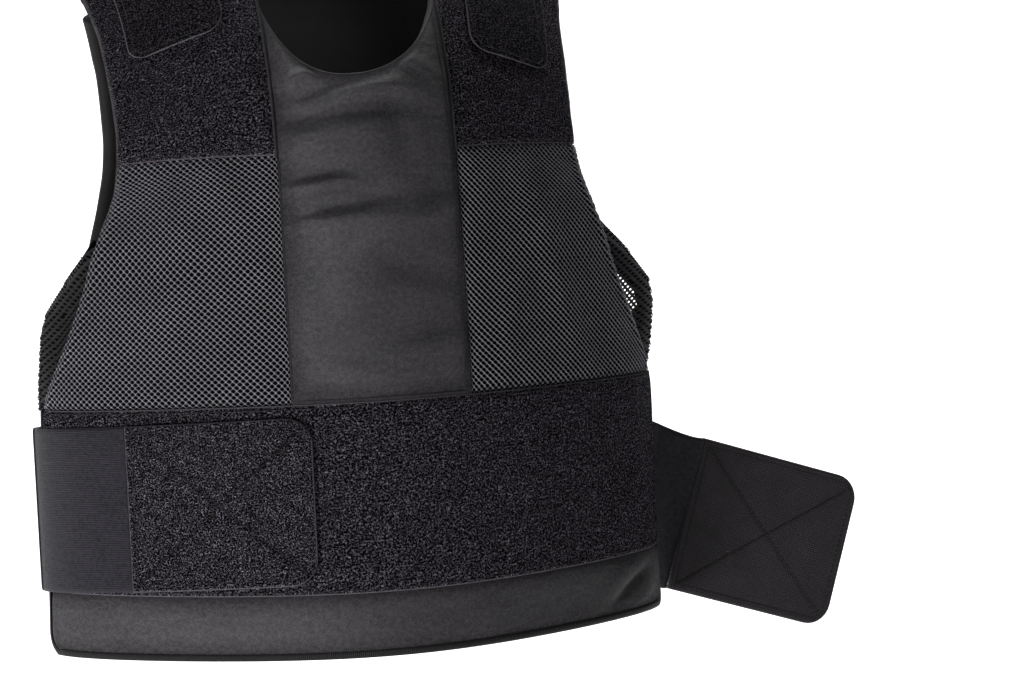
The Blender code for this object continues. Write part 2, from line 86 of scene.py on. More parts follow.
FRONT_EDGE = (
    # along, half width of the padded front
    (3.0, 226.0), (7.0, 232.5), (14.0, 236.0), (156.0, 234.0), (172.0, 225.0), (188.0, 215.0),
    (204.0, 206.0), (220.0, 198.0), (236.0, 191.0), (250.0, 185.5), (264.0, 179.0), (280.0, 172.0),
    (294.0, 167.5), (322.0, 163.5), (345.0, 162.0), (420.0, 162.0), (519.0, 163.0),
)

BACK_EDGE = (
    # along, half width of the padded back
    (556.0, 163.0), (603.0, 160.0), (692.0, 155.0), (718.0, 157.0), (744.0, 163.0), (768.0, 171.0),
    (790.0, 180.0), (812.0, 188.0), (836.0, 193.0), (866.0, 195.0), (1000.0, 195.0),
    (1012.0, 191.0), (1019.0, 184.0),
)

WING_RIM = (
    # along, rim half width, rim lift
    (158.0, 240.0, -1.0), (172.0, 237.0, 2.0), (188.0, 233.0, 5.0), (204.0, 230.5, 8.0),
    (220.0, 223.0, 8.5), (236.0, 207.5, 4.5), (250.0, 193.0, -0.5), (262.0, 183.5, -4.0),
)


def column_of(rows: Sequence[Sequence[float]], column: int = 1) -> Callable[[Array], Array]:
    """Reads a column of a table as a function of its first column.

    Args:
        rows: Table rows, sorted by their first value.
        column: Which value to read.

    Returns:
        A function that interpolates that column.
    """
    keys = [row[0] for row in rows]
    values = [row[column] for row in rows]
    return lambda key: np.interp(key, keys, values)


front_edge = column_of(FRONT_EDGE)
back_edge = column_of(BACK_EDGE)


@dataclass
class Torso:
    """Outer surface of the worn vest, tabulated in cloth coordinates."""

    step: float = 1.0
    reach: float = 250.0
    squareness: float = 0.052
    first: float = -4.0
    points: Array = field(init=False, repr=False)
    normals: Array = field(init=False, repr=False)

    def __post_init__(self) -> None:
        """Measures the surface once, on a grid of one millimetre."""
        self.columns = np.array([row[1:] for row in SECTIONS])
        self.marks = running(self.columns[:, :2])
        self.slopes = np.gradient(self.columns, self.marks, axis=0)
        self.end = float(self.marks[-1])
        alongs = np.arange(self.first, self.end - self.first, self.step)
        angles = np.linspace(0.0, 1.75, 71)
        coarse = self.surface(angles[None, :], alongs)
        arcs = np.cumsum(np.linalg.norm(np.diff(coarse, axis=1), axis=2), axis=1)
        acrosses = np.arange(0.0, self.reach + self.step, self.step)
        bent = np.array([np.interp(acrosses, np.concatenate([[0.0], row]), angles) for row in arcs])
        half = self.surface(bent, alongs)
        mirrored = half[:, :0:-1] * np.array([-1.0, 1.0, 1.0])
        self.points = np.concatenate([mirrored, half], axis=1)
        side = np.gradient(self.points, axis=1)
        upward = np.gradient(self.points, axis=0)
        normals = np.cross(side, upward)
        self.normals = normals / np.linalg.norm(normals, axis=2, keepdims=True)

    def profile(self, along: Array) -> Array:
        """y, height, half width and depth at distances along the centre line.

        Args:
            along: Distances, of any shape.

        Returns:
            Four values for each distance.
        """
        along = np.asarray(along, float)
        i = np.clip(np.searchsorted(self.marks, along) - 1, 0, len(self.marks) - 2)
        span = (self.marks[i + 1] - self.marks[i])[..., None]
        u = (along[..., None] - self.marks[i][..., None]) / span
        return ((2 * u ** 3 - 3 * u ** 2 + 1) * self.columns[i] + (u ** 3 - 2 * u ** 2 + u) * span * self.slopes[i]
                + (3 * u ** 2 - 2 * u ** 3) * self.columns[i + 1] + (u ** 3 - u ** 2) * span * self.slopes[i + 1])

    def sweep(self, angle: Array, half_width: Array, depth: Array) -> tuple[Array, Array]:
        """Sideways reach and fall of a section at angles from the centre line.

        Args:
            angle: Angles from the centre line.
            half_width: Half width of the section.
            depth: Depth of the section.

        Returns:
            Reach and fall, in millimetres.
        """
        k = -self.squareness
        reach = half_width * (np.sin(angle) + k * np.sin(3 * angle)) / (1 - k)
        fall = depth * (1 - (np.cos(angle) - k * np.cos(3 * angle)) / (1 - k))
        return reach, fall

    def surface(self, angle: Array, along: Array) -> Array:
        """Points of the outer surface.

        Args:
            angle: Angles round the body, one row for each distance or one row for all.
            along: Distances along the centre line.

        Returns:
            Points in millimetres, one row for each distance.
        """
        y, height, half_width, depth = (part[:, None] for part in self.profile(along).T)
        before, after = self.profile(along - 0.5), self.profile(along + 0.5)
        inward = np.stack([after[:, 1] - before[:, 1], before[:, 0] - after[:, 0]])
        inward = inward / np.hypot(*inward)
        reach, fall = self.sweep(angle, half_width, depth)
        return np.stack([reach, y + fall * inward[0][:, None], height + fall * inward[1][:, None]], axis=-1)

    def _read(self, table: Array, across: Array, along: Array) -> Array:
        """Bilinear reading of a tabulated quantity.

        Args:
            table: The tabulated quantity.
            across: Across the cloth, in millimetres.
            along: Along the cloth, in millimetres.

        Returns:
            The quantity at those points.
        """
        u = np.clip((across + self.reach) / self.step, 0, table.shape[1] - 1.001)
        v = np.clip((along - self.first) / self.step, 0, table.shape[0] - 1.001)
        i, j = np.floor(u).astype(int), np.floor(v).astype(int)
        f, g = (u - i)[..., None], (v - j)[..., None]
        low = table[j, i] * (1 - f) + table[j, i + 1] * f
        high = table[j + 1, i] * (1 - f) + table[j + 1, i + 1] * f
        return low * (1 - g) + high * g

    def lay(self, across: Array, along: Array, lift: Array) -> Array:
        """Lays cloth points on the body.

        Args:
            across: Distances from the centre line, in millimetres.
            along: Distances along the centre line, in millimetres.
            lift: Heights above the outer surface, in millimetres.

        Returns:
            Points in metres, in the part's frame.
        """
        across, along, lift = np.broadcast_arrays(np.asarray(across, float), along, lift)
        normal = self._read(self.normals, across, along)
        normal = normal / np.linalg.norm(normal, axis=-1, keepdims=True)
        return (self._read(self.points, across, along) + normal * lift[..., None] - REST) * MM

    def cloth(self, name: str, across: Array, along: Array, lift: Array,
              marks: dict[str, Array] | None = None) -> Mesh:
        """Makes a grid of cloth points a mesh on the body, with the numbers it keeps."""
        return grid_mesh(name, self.lay(across, along, lift), np.stack([across, along], axis=-1), marks or {})


class Number:
    """A number socket of a material, with operators that add Math nodes."""

    def __init__(self, tree: "Dye", socket: NodeSocket) -> None:
        """Wraps one output socket."""
        self.tree = tree
        self.socket = socket

    def _maths(self, operation: str, *values: Any) -> "Number":
        """Adds one Math node on these values."""
        node = self.tree.node("ShaderNodeMath", {"operation": operation}, dict(enumerate(values)))
        return Number(self.tree, node.outputs[0])

    def __add__(self, other: Any) -> "Number":
        """Sum."""
        return self._maths("ADD", self, other)

    __radd__ = __add__

    def __sub__(self, other: Any) -> "Number":
        """Difference."""
        return self._maths("SUBTRACT", self, other)

    def __rsub__(self, other: Any) -> "Number":
        """Difference from a plain number."""
        return self._maths("SUBTRACT", other, self)

    def __mul__(self, other: Any) -> "Number":
        """Product."""
        return self._maths("MULTIPLY", self, other)

    __rmul__ = __mul__

    def power(self, exponent: float) -> "Number":
        """Power with a plain exponent."""
        return self._maths("POWER", self, exponent)

    def size(self) -> "Number":
        """Size without its sign."""
        return self._maths("ABSOLUTE", self)

    def wave(self) -> "Number":
        """Sine of the value."""
        return self._maths("SINE", self)

    def largest(self, other: Any) -> "Number":
        """The larger of two values."""
        return self._maths("MAXIMUM", self, other)

    def between(self, low: float, high: float) -> "Number":
        """The value's place between two bounds, held within 0 and 1.

        Args:
            low: Value that gives 0.
            high: Value that gives 1.

        Returns:
            The place, from 0 to 1.
        """
        values = {0: self, 1: low, 2: high, 3: 0.0, 4: 1.0}
        node = self.tree.node("ShaderNodeMapRange", {"clamp": True}, values)
        return Number(self.tree, node.outputs[0])


class Dye:
    """Builds the node tree of one material."""

    def __init__(self, name: str, specular: float) -> None:
        """Starts a Principled material with its constant settings.

        Args:
            name: The material's name.
            specular: Specular level, the same all over.
        """
        self.material = bpy.data.materials.new(name)
        self.material.use_nodes = True
        self.tree = self.material.node_tree
        self.shader = self.tree.nodes["Principled BSDF"]
        self.shader.inputs["Specular IOR Level"].default_value = specular

    def node(self, kind: str, settings: dict[str, Any] | None = None,
             values: dict[Any, Any] | None = None) -> Node:
        """Adds one node.

        Args:
            kind: The node's type.
            settings: Properties that are set first.
            values: Input sockets by name or index, each a number, a tuple, a Number or a socket.

        Returns:
            The new node.
        """
        node = self.tree.nodes.new(kind)
        for name, value in (settings or {}).items():
            setattr(node, name, value)
        for key, value in (values or {}).items():
            if isinstance(value, Number):
                value = value.socket
            if isinstance(value, NodeSocket):
                self.tree.links.new(value, node.inputs[key])
            else:
                node.inputs[key].default_value = value
        return node

    def cloth(self) -> tuple[NodeSocket, Number, Number]:
        """Cloth coordinates in millimetres: the vector, across and along.

        Returns:
            The vector, across and along.
        """
        uv = self.node("ShaderNodeUVMap", {"uv_map": CLOTH_UV})
        scaled = self.node("ShaderNodeVectorMath", {"operation": "SCALE"}, {0: uv.outputs[0], "Scale": 1000.0})
        parts = self.node("ShaderNodeSeparateXYZ", None, {0: scaled.outputs[0]})
        return scaled.outputs[0], Number(self, parts.outputs[0]), Number(self, parts.outputs[1])

    def attribute(self, name: str) -> Number:
        """A number that the mesh carries at its points."""
        node = self.node("ShaderNodeAttribute", {"attribute_name": name})
        return Number(self, node.outputs["Fac"])

    def noise(self, vector: NodeSocket, scale: float, detail: float = 2.0,
              distortion: float = 0.0) -> Number:
        """Noise around 0.5 with a number of cells for each millimetre."""
        values = {"Vector": vector, "Scale": scale, "Detail": detail, "Distortion": distortion}
        return Number(self, self.node("ShaderNodeTexNoise", None, values).outputs[0])

    @staticmethod
    def ribs(place: Number, pitch: float) -> Number:
        """Even ribs across a coordinate, from 0 to 1."""
        return (place * (2 * math.pi / pitch)).wave() * 0.5 + 0.5

    def stretched(self, vector: NodeSocket, along_x: float, along_y: float) -> NodeSocket:
        """Cloth coordinates scaled differently in the two directions."""
        node = self.node("ShaderNodeVectorMath", {"operation": "MULTIPLY"}, {0: vector, 1: (along_x, along_y, 1.0)})
        return node.outputs[0]

    def blend(self, factor: Number, low: Any, high: Any) -> NodeSocket:
        """Mixes two colours."""
        values = {0: factor, 6: low, 7: high}
        return self.node("ShaderNodeMix", {"data_type": "RGBA"}, values).outputs[2]

    def edged(self, colour: NodeSocket, share: float, width: float, tint: Any) -> NodeSocket:
        """Mixes another tint into the border of a cloth."""
        return self.blend((1.0 - self.attribute(RIM).between(0.3, width)) * share, colour, tint)

    def finish(self, colour: Any, roughness: Any, height: Number | None = None,
               depth: float = 0.0003) -> Material:
        """Joins colour, roughness and relief to the shader.

        Args:
            colour: Colour socket.
            roughness: A Number or a plain value.
            height: Relief, from 0 to 1.
            depth: How deep that relief is, in metres.

        Returns:
            The finished material.
        """
        self.tree.links.new(colour, self.shader.inputs["Base Color"])
        if isinstance(roughness, Number):
            self.tree.links.new(roughness.socket, self.shader.inputs["Roughness"])
        else:
            self.shader.inputs["Roughness"].default_value = roughness
        if height is not None:
            bump = self.node("ShaderNodeBump", None, {"Strength": 1.0, "Distance": depth, "Height": height})
            self.tree.links.new(bump.outputs[0], self.shader.inputs["Normal"])
        return self.material


def grey(level: float, blue: float = 1.0, green: float = 0.9) -> tuple[float, float, float, float]:
    """A near-neutral grey of dyed cloth, or one that leans to blue."""
    return (level, level * green, level * blue, 1.0)


@dataclass(frozen=True)
class Twill:
    """Charcoal twill with a fine diagonal wale."""

    name: str = "charcoal_twill"
    dark: float = 0.011
    light: float = 0.050
    wale: float = 1.15

    def make(self) -> Material:
        """The twill's material.

        Returns:
            The finished material.
        """
        dye = Dye(self.name, specular=0.4)
        cloth, across, along = dye.cloth()
        wale = dye.ribs(across * 0.8 + along + dye.noise(cloth, 0.25, 2.0) * 1.2, self.wale)
        fibre = dye.noise(dye.stretched(cloth, 1.6, 0.8), 1.0, 3.0)
        worn = dye.noise(cloth, 0.028, 4.0, 0.6)
        crease_and_shade = dye.noise(dye.stretched(cloth, 0.45, 1.0), 0.07, 3.0, 1.2)
        rim = dye.attribute(RIM).between(0.0, 5.0)
        mottle = dye.noise(cloth, 0.36, 3.0, 0.6)
        # The crease noise lightens the ridges of its bump and darkens the hollows: painted shade along the creases.
        shade = wale * 0.6 + fibre * 3.6 + worn * 0.45 + crease_and_shade * 0.3 + mottle * 2.2 - 3.1
        # Darker within 5 mm of the seams and the turned neck edge: painted shade where the cloth turns down.
        colour = dye.blend(shade * (rim * 0.55 + 0.45), grey(self.dark), grey(self.light, 1.03))
        dull = dye.attribute(RIM).between(3.0, 13.0)
        return dye.finish(colour, fibre * 0.2 + 0.86 - dull * 0.4, wale * 0.6 + fibre * 0.6 + crease_and_shade * 4.5, 0.0003)


@dataclass(frozen=True)
class LoopPile:
    """Black brushed loops, with painted highlights on single curls."""

    name: str = "loop_pile"
    deep: float = 0.0005
    # Brightness of the painted highlights on the curls.
    curl_highlight: float = 0.55
    bare: float = 0.50
    fine: float = 1.0

    def make(self) -> Material:
        """The pile's material.

        Returns:
            The finished material.
        """
        dye = Dye(self.name, specular=0.02)
        cloth, _, _ = dye.cloth()
        bends = dye.noise(dye.stretched(cloth, 0.85, 1.2), 0.62 * self.fine, 1.5, 2.4)
        curls = (1.0 - (bends - 0.5).size() * 12.0).largest(0.0)
        broken = dye.noise(cloth, 0.8 * self.fine, 1.0).between(self.bare, self.bare + 0.11)
        fibres = dye.noise(dye.stretched(cloth, 0.75, 1.05), self.fine, 1.0, 1.0)
        fibres = fibres.between(self.bare + 0.09, self.bare + 0.23)
        tufts = dye.noise(cloth, 0.12, 4.0, 0.5)
        # Painted highlights: bright curls and fibres on the black pile, where light would catch the loops.
        lit = (curls * broken * 0.6 + fibres * 0.4) * (tufts * 0.9 + 0.5)
        pressed = dye.attribute(PRESSED_AND_SHADED)
        # Darker along the stitches: painted shade in the grooves that they press.
        colour = dye.blend(lit * (1.0 - pressed * 0.7), grey(self.deep), grey(self.curl_highlight, 1.1))
        # Lighter border: a painted highlight along the pad's lit edge.
        colour = dye.edged(colour, 0.75, 1.0, grey(0.13, 1.05))
        return dye.finish(colour, 0.85, curls * broken * 0.7 + tufts * 0.5 + fibres * 0.3 - pressed * 0.5, 0.0008)


@dataclass(frozen=True)
class NetThread:
    """Grey filament of the spacer mesh, made black deep in its holes by painted shade."""

    name: str = "mesh_thread"
    deep: float = 0.003
    light: float = 0.28

    def make(self) -> Material:
        """The thread's material.

        Returns:
            The finished material.
        """
        dye = Dye(self.name, specular=0.12)
        cloth, _, _ = dye.cloth()
        strands = dye.noise(cloth, 2.2, 2.0, 0.5)
        worn = dye.noise(cloth, 0.05, 3.0)
        crest = dye.attribute(CREST_SHADE).power(1.7)
        # Painted shade: the thread darkens with its depth in the eyelet.
        shade = crest * (strands * 0.7 + worn * 0.5 + 0.25)
        colour = dye.blend(shade, grey(self.deep), grey(self.light, 1.1, 0.97))
        return dye.finish(colour, 0.55, strands, 0.00015)


@dataclass(frozen=True)
class HookTape:
    """Charcoal tape with rows of fine hooks."""

    name: str = "hook_tape"
    dark: float = 0.004
    light: float = 0.046
    row: float = 1.35

    def make(self) -> Material:
        """The tape's material.

        Returns:
            The finished material.
        """
        dye = Dye(self.name, specular=0.15)
        cloth, across, along = dye.cloth()
        waver = dye.noise(cloth, 0.4, 2.0) * 0.35
        tips = dye.ribs(along + waver, self.row) * dye.ribs(across + waver, self.row * 1.25)
        fuzz = dye.noise(cloth, 1.3, 3.0, 0.5)
        rubbed = dye.noise(cloth, 0.05, 4.0, 0.5)
        pressed = dye.attribute(PRESSED_AND_SHADED)
        # Darker along the stitches: painted shade in the grooves that they press.
        shade = (tips * 0.6 + fuzz * 0.5 + rubbed * 0.4 - 0.06) * (1.0 - pressed * 0.4)
        colour = dye.blend(shade, grey(self.dark), grey(self.light))
        colour = dye.edged(colour, 0.6, 0.9, grey(0.05))
        return dye.finish(colour, 0.75, tips * 0.8 + fuzz * 0.4 - pressed * 0.6, 0.0004)


@dataclass(frozen=True)
class ElasticBand:
    """Smooth blue-black woven elastic with fine ribs."""

    name: str = "woven_elastic"
    dark: float = 0.004
    light: float = 0.020
    rib: float = 1.1
    pick: float = 0.8

    def make(self) -> Material:
        """The elastic's material.

        Returns:
            The finished material.
        """
        dye = Dye(self.name, specular=0.2)
        cloth, across, along = dye.cloth()
        weave = dye.ribs(along, self.rib) + dye.ribs(across, self.pick)
        worn = dye.noise(cloth, 0.06, 3.0)
        mottle = dye.noise(cloth, 0.42, 3.0, 0.6)
        shade = weave * 0.7 + worn * 0.7 + mottle * 3.6 - 2.3
        colour = dye.blend(shade, grey(self.dark, 1.25), grey(self.light, 1.3))
        colour = dye.edged(colour, 0.5, 1.4, grey(0.035, 1.1))
        return dye.finish(colour, 0.5, weave * 0.6, 0.0003)


@dataclass(frozen=True)
class EdgeTape:
    """Black grosgrain, ribbed across its length."""

    name: str = "edge_tape"
    level: float = 0.003
    rib: float = 1.2

    def make(self) -> Material:
        """The tape's material.

        Returns:
            The finished material.
        """
        dye = Dye(self.name, specular=0.2)
        cloth, across, _ = dye.cloth()
        ribs = dye.ribs(across, self.rib)
        worn = dye.noise(cloth, 0.3, 3.0)
        colour = dye.blend(ribs * 0.5 + worn * 0.5, grey(self.level * 0.5), grey(self.level * 2.2))
        return dye.finish(colour, 0.6, ribs, 0.00025)


@dataclass(frozen=True)
class Lining:
    """Black inner cloth of the padded panels."""

    name: str = "black_lining"
    level: float = 0.009
    gloss: float = 0.2

    def make(self) -> Material:
        """The lining's material.

        Returns:
            The finished material.
        """
        dye = Dye(self.name, specular=self.gloss)
        cloth, across, along = dye.cloth()
        weave = (across * (2 * math.pi / 0.9)).wave() * (along * (2 * math.pi / 0.9)).wave() * 0.5 + 0.5
        worn = dye.noise(cloth, 0.04, 4.0, 0.4)
        colour = dye.blend(weave * 0.3 + worn * 0.6, grey(self.level * 0.6), grey(self.level * 2.0))
        return dye.finish(colour, 0.75, weave, 0.00015)


@dataclass(frozen=True)
class SewingThread:
    """Twisted polyester thread."""

    name: str = "sewing_thread"
    level: float = 0.008

    def make(self) -> Material:
        """The thread's material.

        Returns:
            The finished material.
        """
        dye = Dye(self.name, specular=0.3)
        where = dye.node("ShaderNodeTexCoord").outputs["Object"]
        twist = dye.noise(where, 900.0, 1.0)
        colour = dye.blend(twist, grey(self.level * 0.6), grey(self.level * 1.6))
        return dye.finish(colour, 0.5)


class Finish(Enum):
    """The finishes of this vest and the record's slot of each."""

    TWILL = (Twill(), "twill")
    # The strap and pad piles are the loop pile with dimmer and brighter painted highlights.
    STRAP = (LoopPile("strap_pile", curl_highlight=0.3), "loop")
    LOOP = (LoopPile(), "loop")
    PAD = (LoopPile("pad_pile", curl_highlight=1.0, bare=0.525, fine=1.3), "loop")
    NET = (NetThread(), "mesh")
    HOOK = (HookTape(), "hook")
    ELASTIC = (ElasticBand(), "elastic")
    TAPE = (EdgeTape(), "binding")
    LINING = (Lining(), "lining")
    # Near-black, nearly matt cloth of the nets' backing and the wing rims, darker than the lining: partly the real
    # black cloth, partly painted shade in the nets' holes.
    BACKING = (Lining("mesh_backing", 0.0015, 0.02), "mesh")
    THREAD = (SewingThread(), "binding")
    PALE_THREAD = (SewingThread("overlock_thread", 0.05), "mesh")

    @property
    def slot(self) -> str:
        """The record's slot."""
        return self.value[1]

    def material(self) -> Material:
        """This finish's material, made once."""
        style = self.value[0]
        return bpy.data.materials.get(style.name) or style.make()


def running(route: Array) -> Array:
    """Distance from the start at each corner of a route."""
    return np.concatenate([[0.0], np.cumsum(np.hypot(*np.diff(route, axis=0).T))])


def turned_down(rim: Array, radius: float) -> Array:
    """Share of a rounded edge's fall at a distance from it, 1 at the edge."""
    return 1.0 - np.sqrt(np.clip(1.0 - (1.0 - np.minimum(rim / radius, 1.0)) ** 2, 0.0, 1.0))


def dots_mesh(name: str, spots: Array) -> Mesh:
    """A mesh of bare points, in metres.

    Args:
        name: Name of the piece.
        spots: Points in metres, one to a row.

    Returns:
        The mesh.
    """
    mesh = bpy.data.meshes.new(name + "_points")
    mesh.vertices.add(len(spots))
    mesh.vertices.foreach_set("co", spots.astype(np.float32).ravel())
    return mesh


def points_of(mesh: Mesh) -> Array:
    """A mesh's points, one to a row.

    Args:
        mesh: The mesh.

    Returns:
        The points in metres.
    """
    flat = np.zeros(len(mesh.vertices) * 3, np.float32)
    mesh.vertices.foreach_get("co", flat)
    return flat.reshape(-1, 3)


def lay_points(mesh: Mesh, points: Array, uv: Array, marks: dict[str, Array]) -> None:
    """Moves a mesh's points and writes what they carry.

    Args:
        mesh: The mesh, which is smooth shaded.
        points: A point in metres for each vertex.
        uv: Cloth coordinates in millimetres for each vertex.
        marks: Numbers to keep at the vertices, by name.
    """
    mesh.vertices.foreach_set("co", points.astype(np.float32).ravel())
    corner = np.zeros(len(mesh.loops), np.int32)
    mesh.loops.foreach_get("vertex_index", corner)
    layer = mesh.uv_layers.get(CLOTH_UV) or mesh.uv_layers.new(name=CLOTH_UV)
    layer.data.foreach_set("uv", (uv[corner] * MM).astype(np.float32).ravel())
    for key, values in marks.items():
        held = mesh.attributes.new(key, "FLOAT", "POINT")
        held.data.foreach_set("value", values.astype(np.float32))
    mesh.update()
    mesh.shade_smooth()


def grid_mesh(name: str, points: Array, uv: Array, marks: dict[str, Array]) -> Mesh:
    """Makes a grid and sets its points.

    Args:
        name: The mesh's name.
        points: Rows of points in metres.
        uv: Rows of cloth coordinates in millimetres.
        marks: Numbers to keep at the points, by name.

    Returns:
        The smooth shaded mesh, its faces towards the side from which columns run right and rows up.
    """
    rows, columns = points.shape[:2]
    grid = bmesh.new()
    bmesh.ops.create_grid(grid, x_segments=columns - 1, y_segments=rows - 1, size=0.5)
    mesh = bpy.data.meshes.new(name)
    grid.to_mesh(mesh)
    grid.free()
    flat = points_of(mesh)
    column = np.rint((flat[:, 0] + 0.5) * (columns - 1)).astype(int)
    row = np.rint((flat[:, 1] + 0.5) * (rows - 1)).astype(int)
    lay_points(mesh, points[row, column], uv[row, column], {key: held[row, column] for key, held in marks.items()})
    return mesh


def show(name: str, mesh: Mesh, finish: Finish, replaces: Sequence[str] = ()) -> Object:
    """Adds a piece that rides on the vest's one body.

    Args:
        name: The piece's name.
        mesh: Its mesh, in the part's frame.
        finish: Its finish.
        replaces: CAD nodes that it stands for.

    Returns:
        The piece.
    """
    piece = bpy.data.objects.new(name, mesh)
    bpy.context.scene.collection.objects.link(piece)
    if not mesh.materials:
        mesh.materials.append(finish.material())
    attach(piece, "root")
    if replaces:
        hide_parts(*replaces)
    log.info("%s: %d faces", name, len(mesh.polygons))
    return piece


def joined(name: str, parts: Sequence[Mesh]) -> Mesh:
    """Joins meshes that share one material into one.

    Args:
        name: The new mesh's name.
        parts: The meshes, which are removed.

    Returns:
        The joined mesh.
    """
    body = bmesh.new()
    for part in parts:
        body.from_mesh(part)
    whole = bpy.data.meshes.new(name)
    body.to_mesh(whole)
    body.free()
    for material in parts[0].materials:
        whole.materials.append(material)
    for part in parts:
        bpy.data.meshes.remove(part)
    whole.shade_smooth()
    return whole


def give_wall(piece: Object, thickness: float) -> None:
    """Gives an open sheet its thickness inwards, in millimetres.

    Args:
        piece: The sheet.
        thickness: Thickness in millimetres.
    """
    wall = piece.modifiers.new("wall", "SOLIDIFY")
    wall.thickness = thickness * MM
    wall.offset = -1.0
    wall.use_even_offset = True


def show_pad(name: str, mesh: Mesh, node: str, thickness: float) -> None:
    """Adds a padded panel from its outer skin.

    Args:
        name: The piece's name.
        mesh: Its outer skin.
        node: CAD node that it stands for.
        thickness: Padding in millimetres.
    """
    piece = show(name, mesh, Finish.LINING, [node])
    give_wall(piece, thickness)
    soft = piece.modifiers.new("soft", "SUBSURF")
    soft.levels = soft.render_levels = 1


def cut_faces(mesh: Mesh, is_open: Callable[[list[Vector]], bool]) -> None:
    """Removes the faces that lie in an opening.

    Args:
        mesh: The mesh.
        is_open: Whether a face with these cloth corners, in millimetres, lies in the opening.
    """
    body = bmesh.new()
    body.from_mesh(mesh)
    uv = body.loops.layers.uv[CLOTH_UV]
    dropped = [face for face in body.faces if is_open([loop[uv].uv / MM for loop in face.loops])]
    bmesh.ops.delete(body, geom=dropped, context="FACES")
    body.to_mesh(mesh)
    body.free()


@dataclass(frozen=True)
class Fold:
    """A soft fold or dent in a cloth."""

    across: float
    along: float
    turn: float
    length: float
    width: float
    height: float

    def lift(self, across: Array, along: Array) -> Array:
        """Height of this fold at cloth points, in millimetres.

        Args:
            across: Across the cloth, in millimetres.
            along: Along the cloth, in millimetres.

        Returns:
            The height in millimetres.
        """
        cos, sin = math.cos(math.radians(self.turn)), math.sin(math.radians(self.turn))
        u = (across - self.across) * cos + (along - self.along) * sin
        v = (along - self.along) * cos - (across - self.across) * sin
        return self.height * np.exp(-(np.abs(u) / self.length) ** 2.5) * np.exp(-(v / self.width) ** 2)


def fold_table(*rows: tuple[float, ...]) -> tuple[Fold, ...]:
    """Folds from rows of across, along, turn, length, width and height."""
    return tuple(Fold(*row) for row in rows)


def folded(folds: Sequence[Fold], across: Array, along: Array) -> Array:
    """Sum of the folds at cloth points."""
    return sum((fold.lift(across, along) for fold in folds), np.zeros_like(across))


def bulge(folds: Sequence[Fold], across: Array, along: Array, scale: float = 1.0,
          floor: float = 0.9) -> Array:
    """Sum of the folds, held above the padding that the cloth lies on.

    Args:
        folds: The folds.
        across: Cloth points.
        along: Cloth points.
        scale: Share of the folds' height.
        floor: How far the cloth can sink, in millimetres.

    Returns:
        Heights in millimetres.
    """
    height = folded(folds, across, along) * scale + floor * 0.6
    return np.logaddexp(0.0, (height + floor) / 0.5) * 0.5 - floor


def ripple(across: Array, along: Array, seed: int, size: float, height: float) -> Array:
    """Faint irregular waves, as of cloth that was handled.

    Args:
        across: Cloth points.
        along: Cloth points.
        seed: Which pattern.
        size: Typical wave length in millimetres.
        height: Typical height in millimetres.

    Returns:
        Heights in millimetres.
    """
    rng = np.random.default_rng(seed)
    total = np.zeros_like(across)
    for _ in range(9):
        angle, phase = rng.uniform(0, math.pi), rng.uniform(0, 2 * math.pi)
        wave = size * rng.uniform(0.7, 1.7)
        total = total + np.sin((across * math.cos(angle) + along * math.sin(angle)) * 2 * math.pi / wave + phase)
    return total * height / 3.0


Place = Callable[[Array, Array, Array], Array]


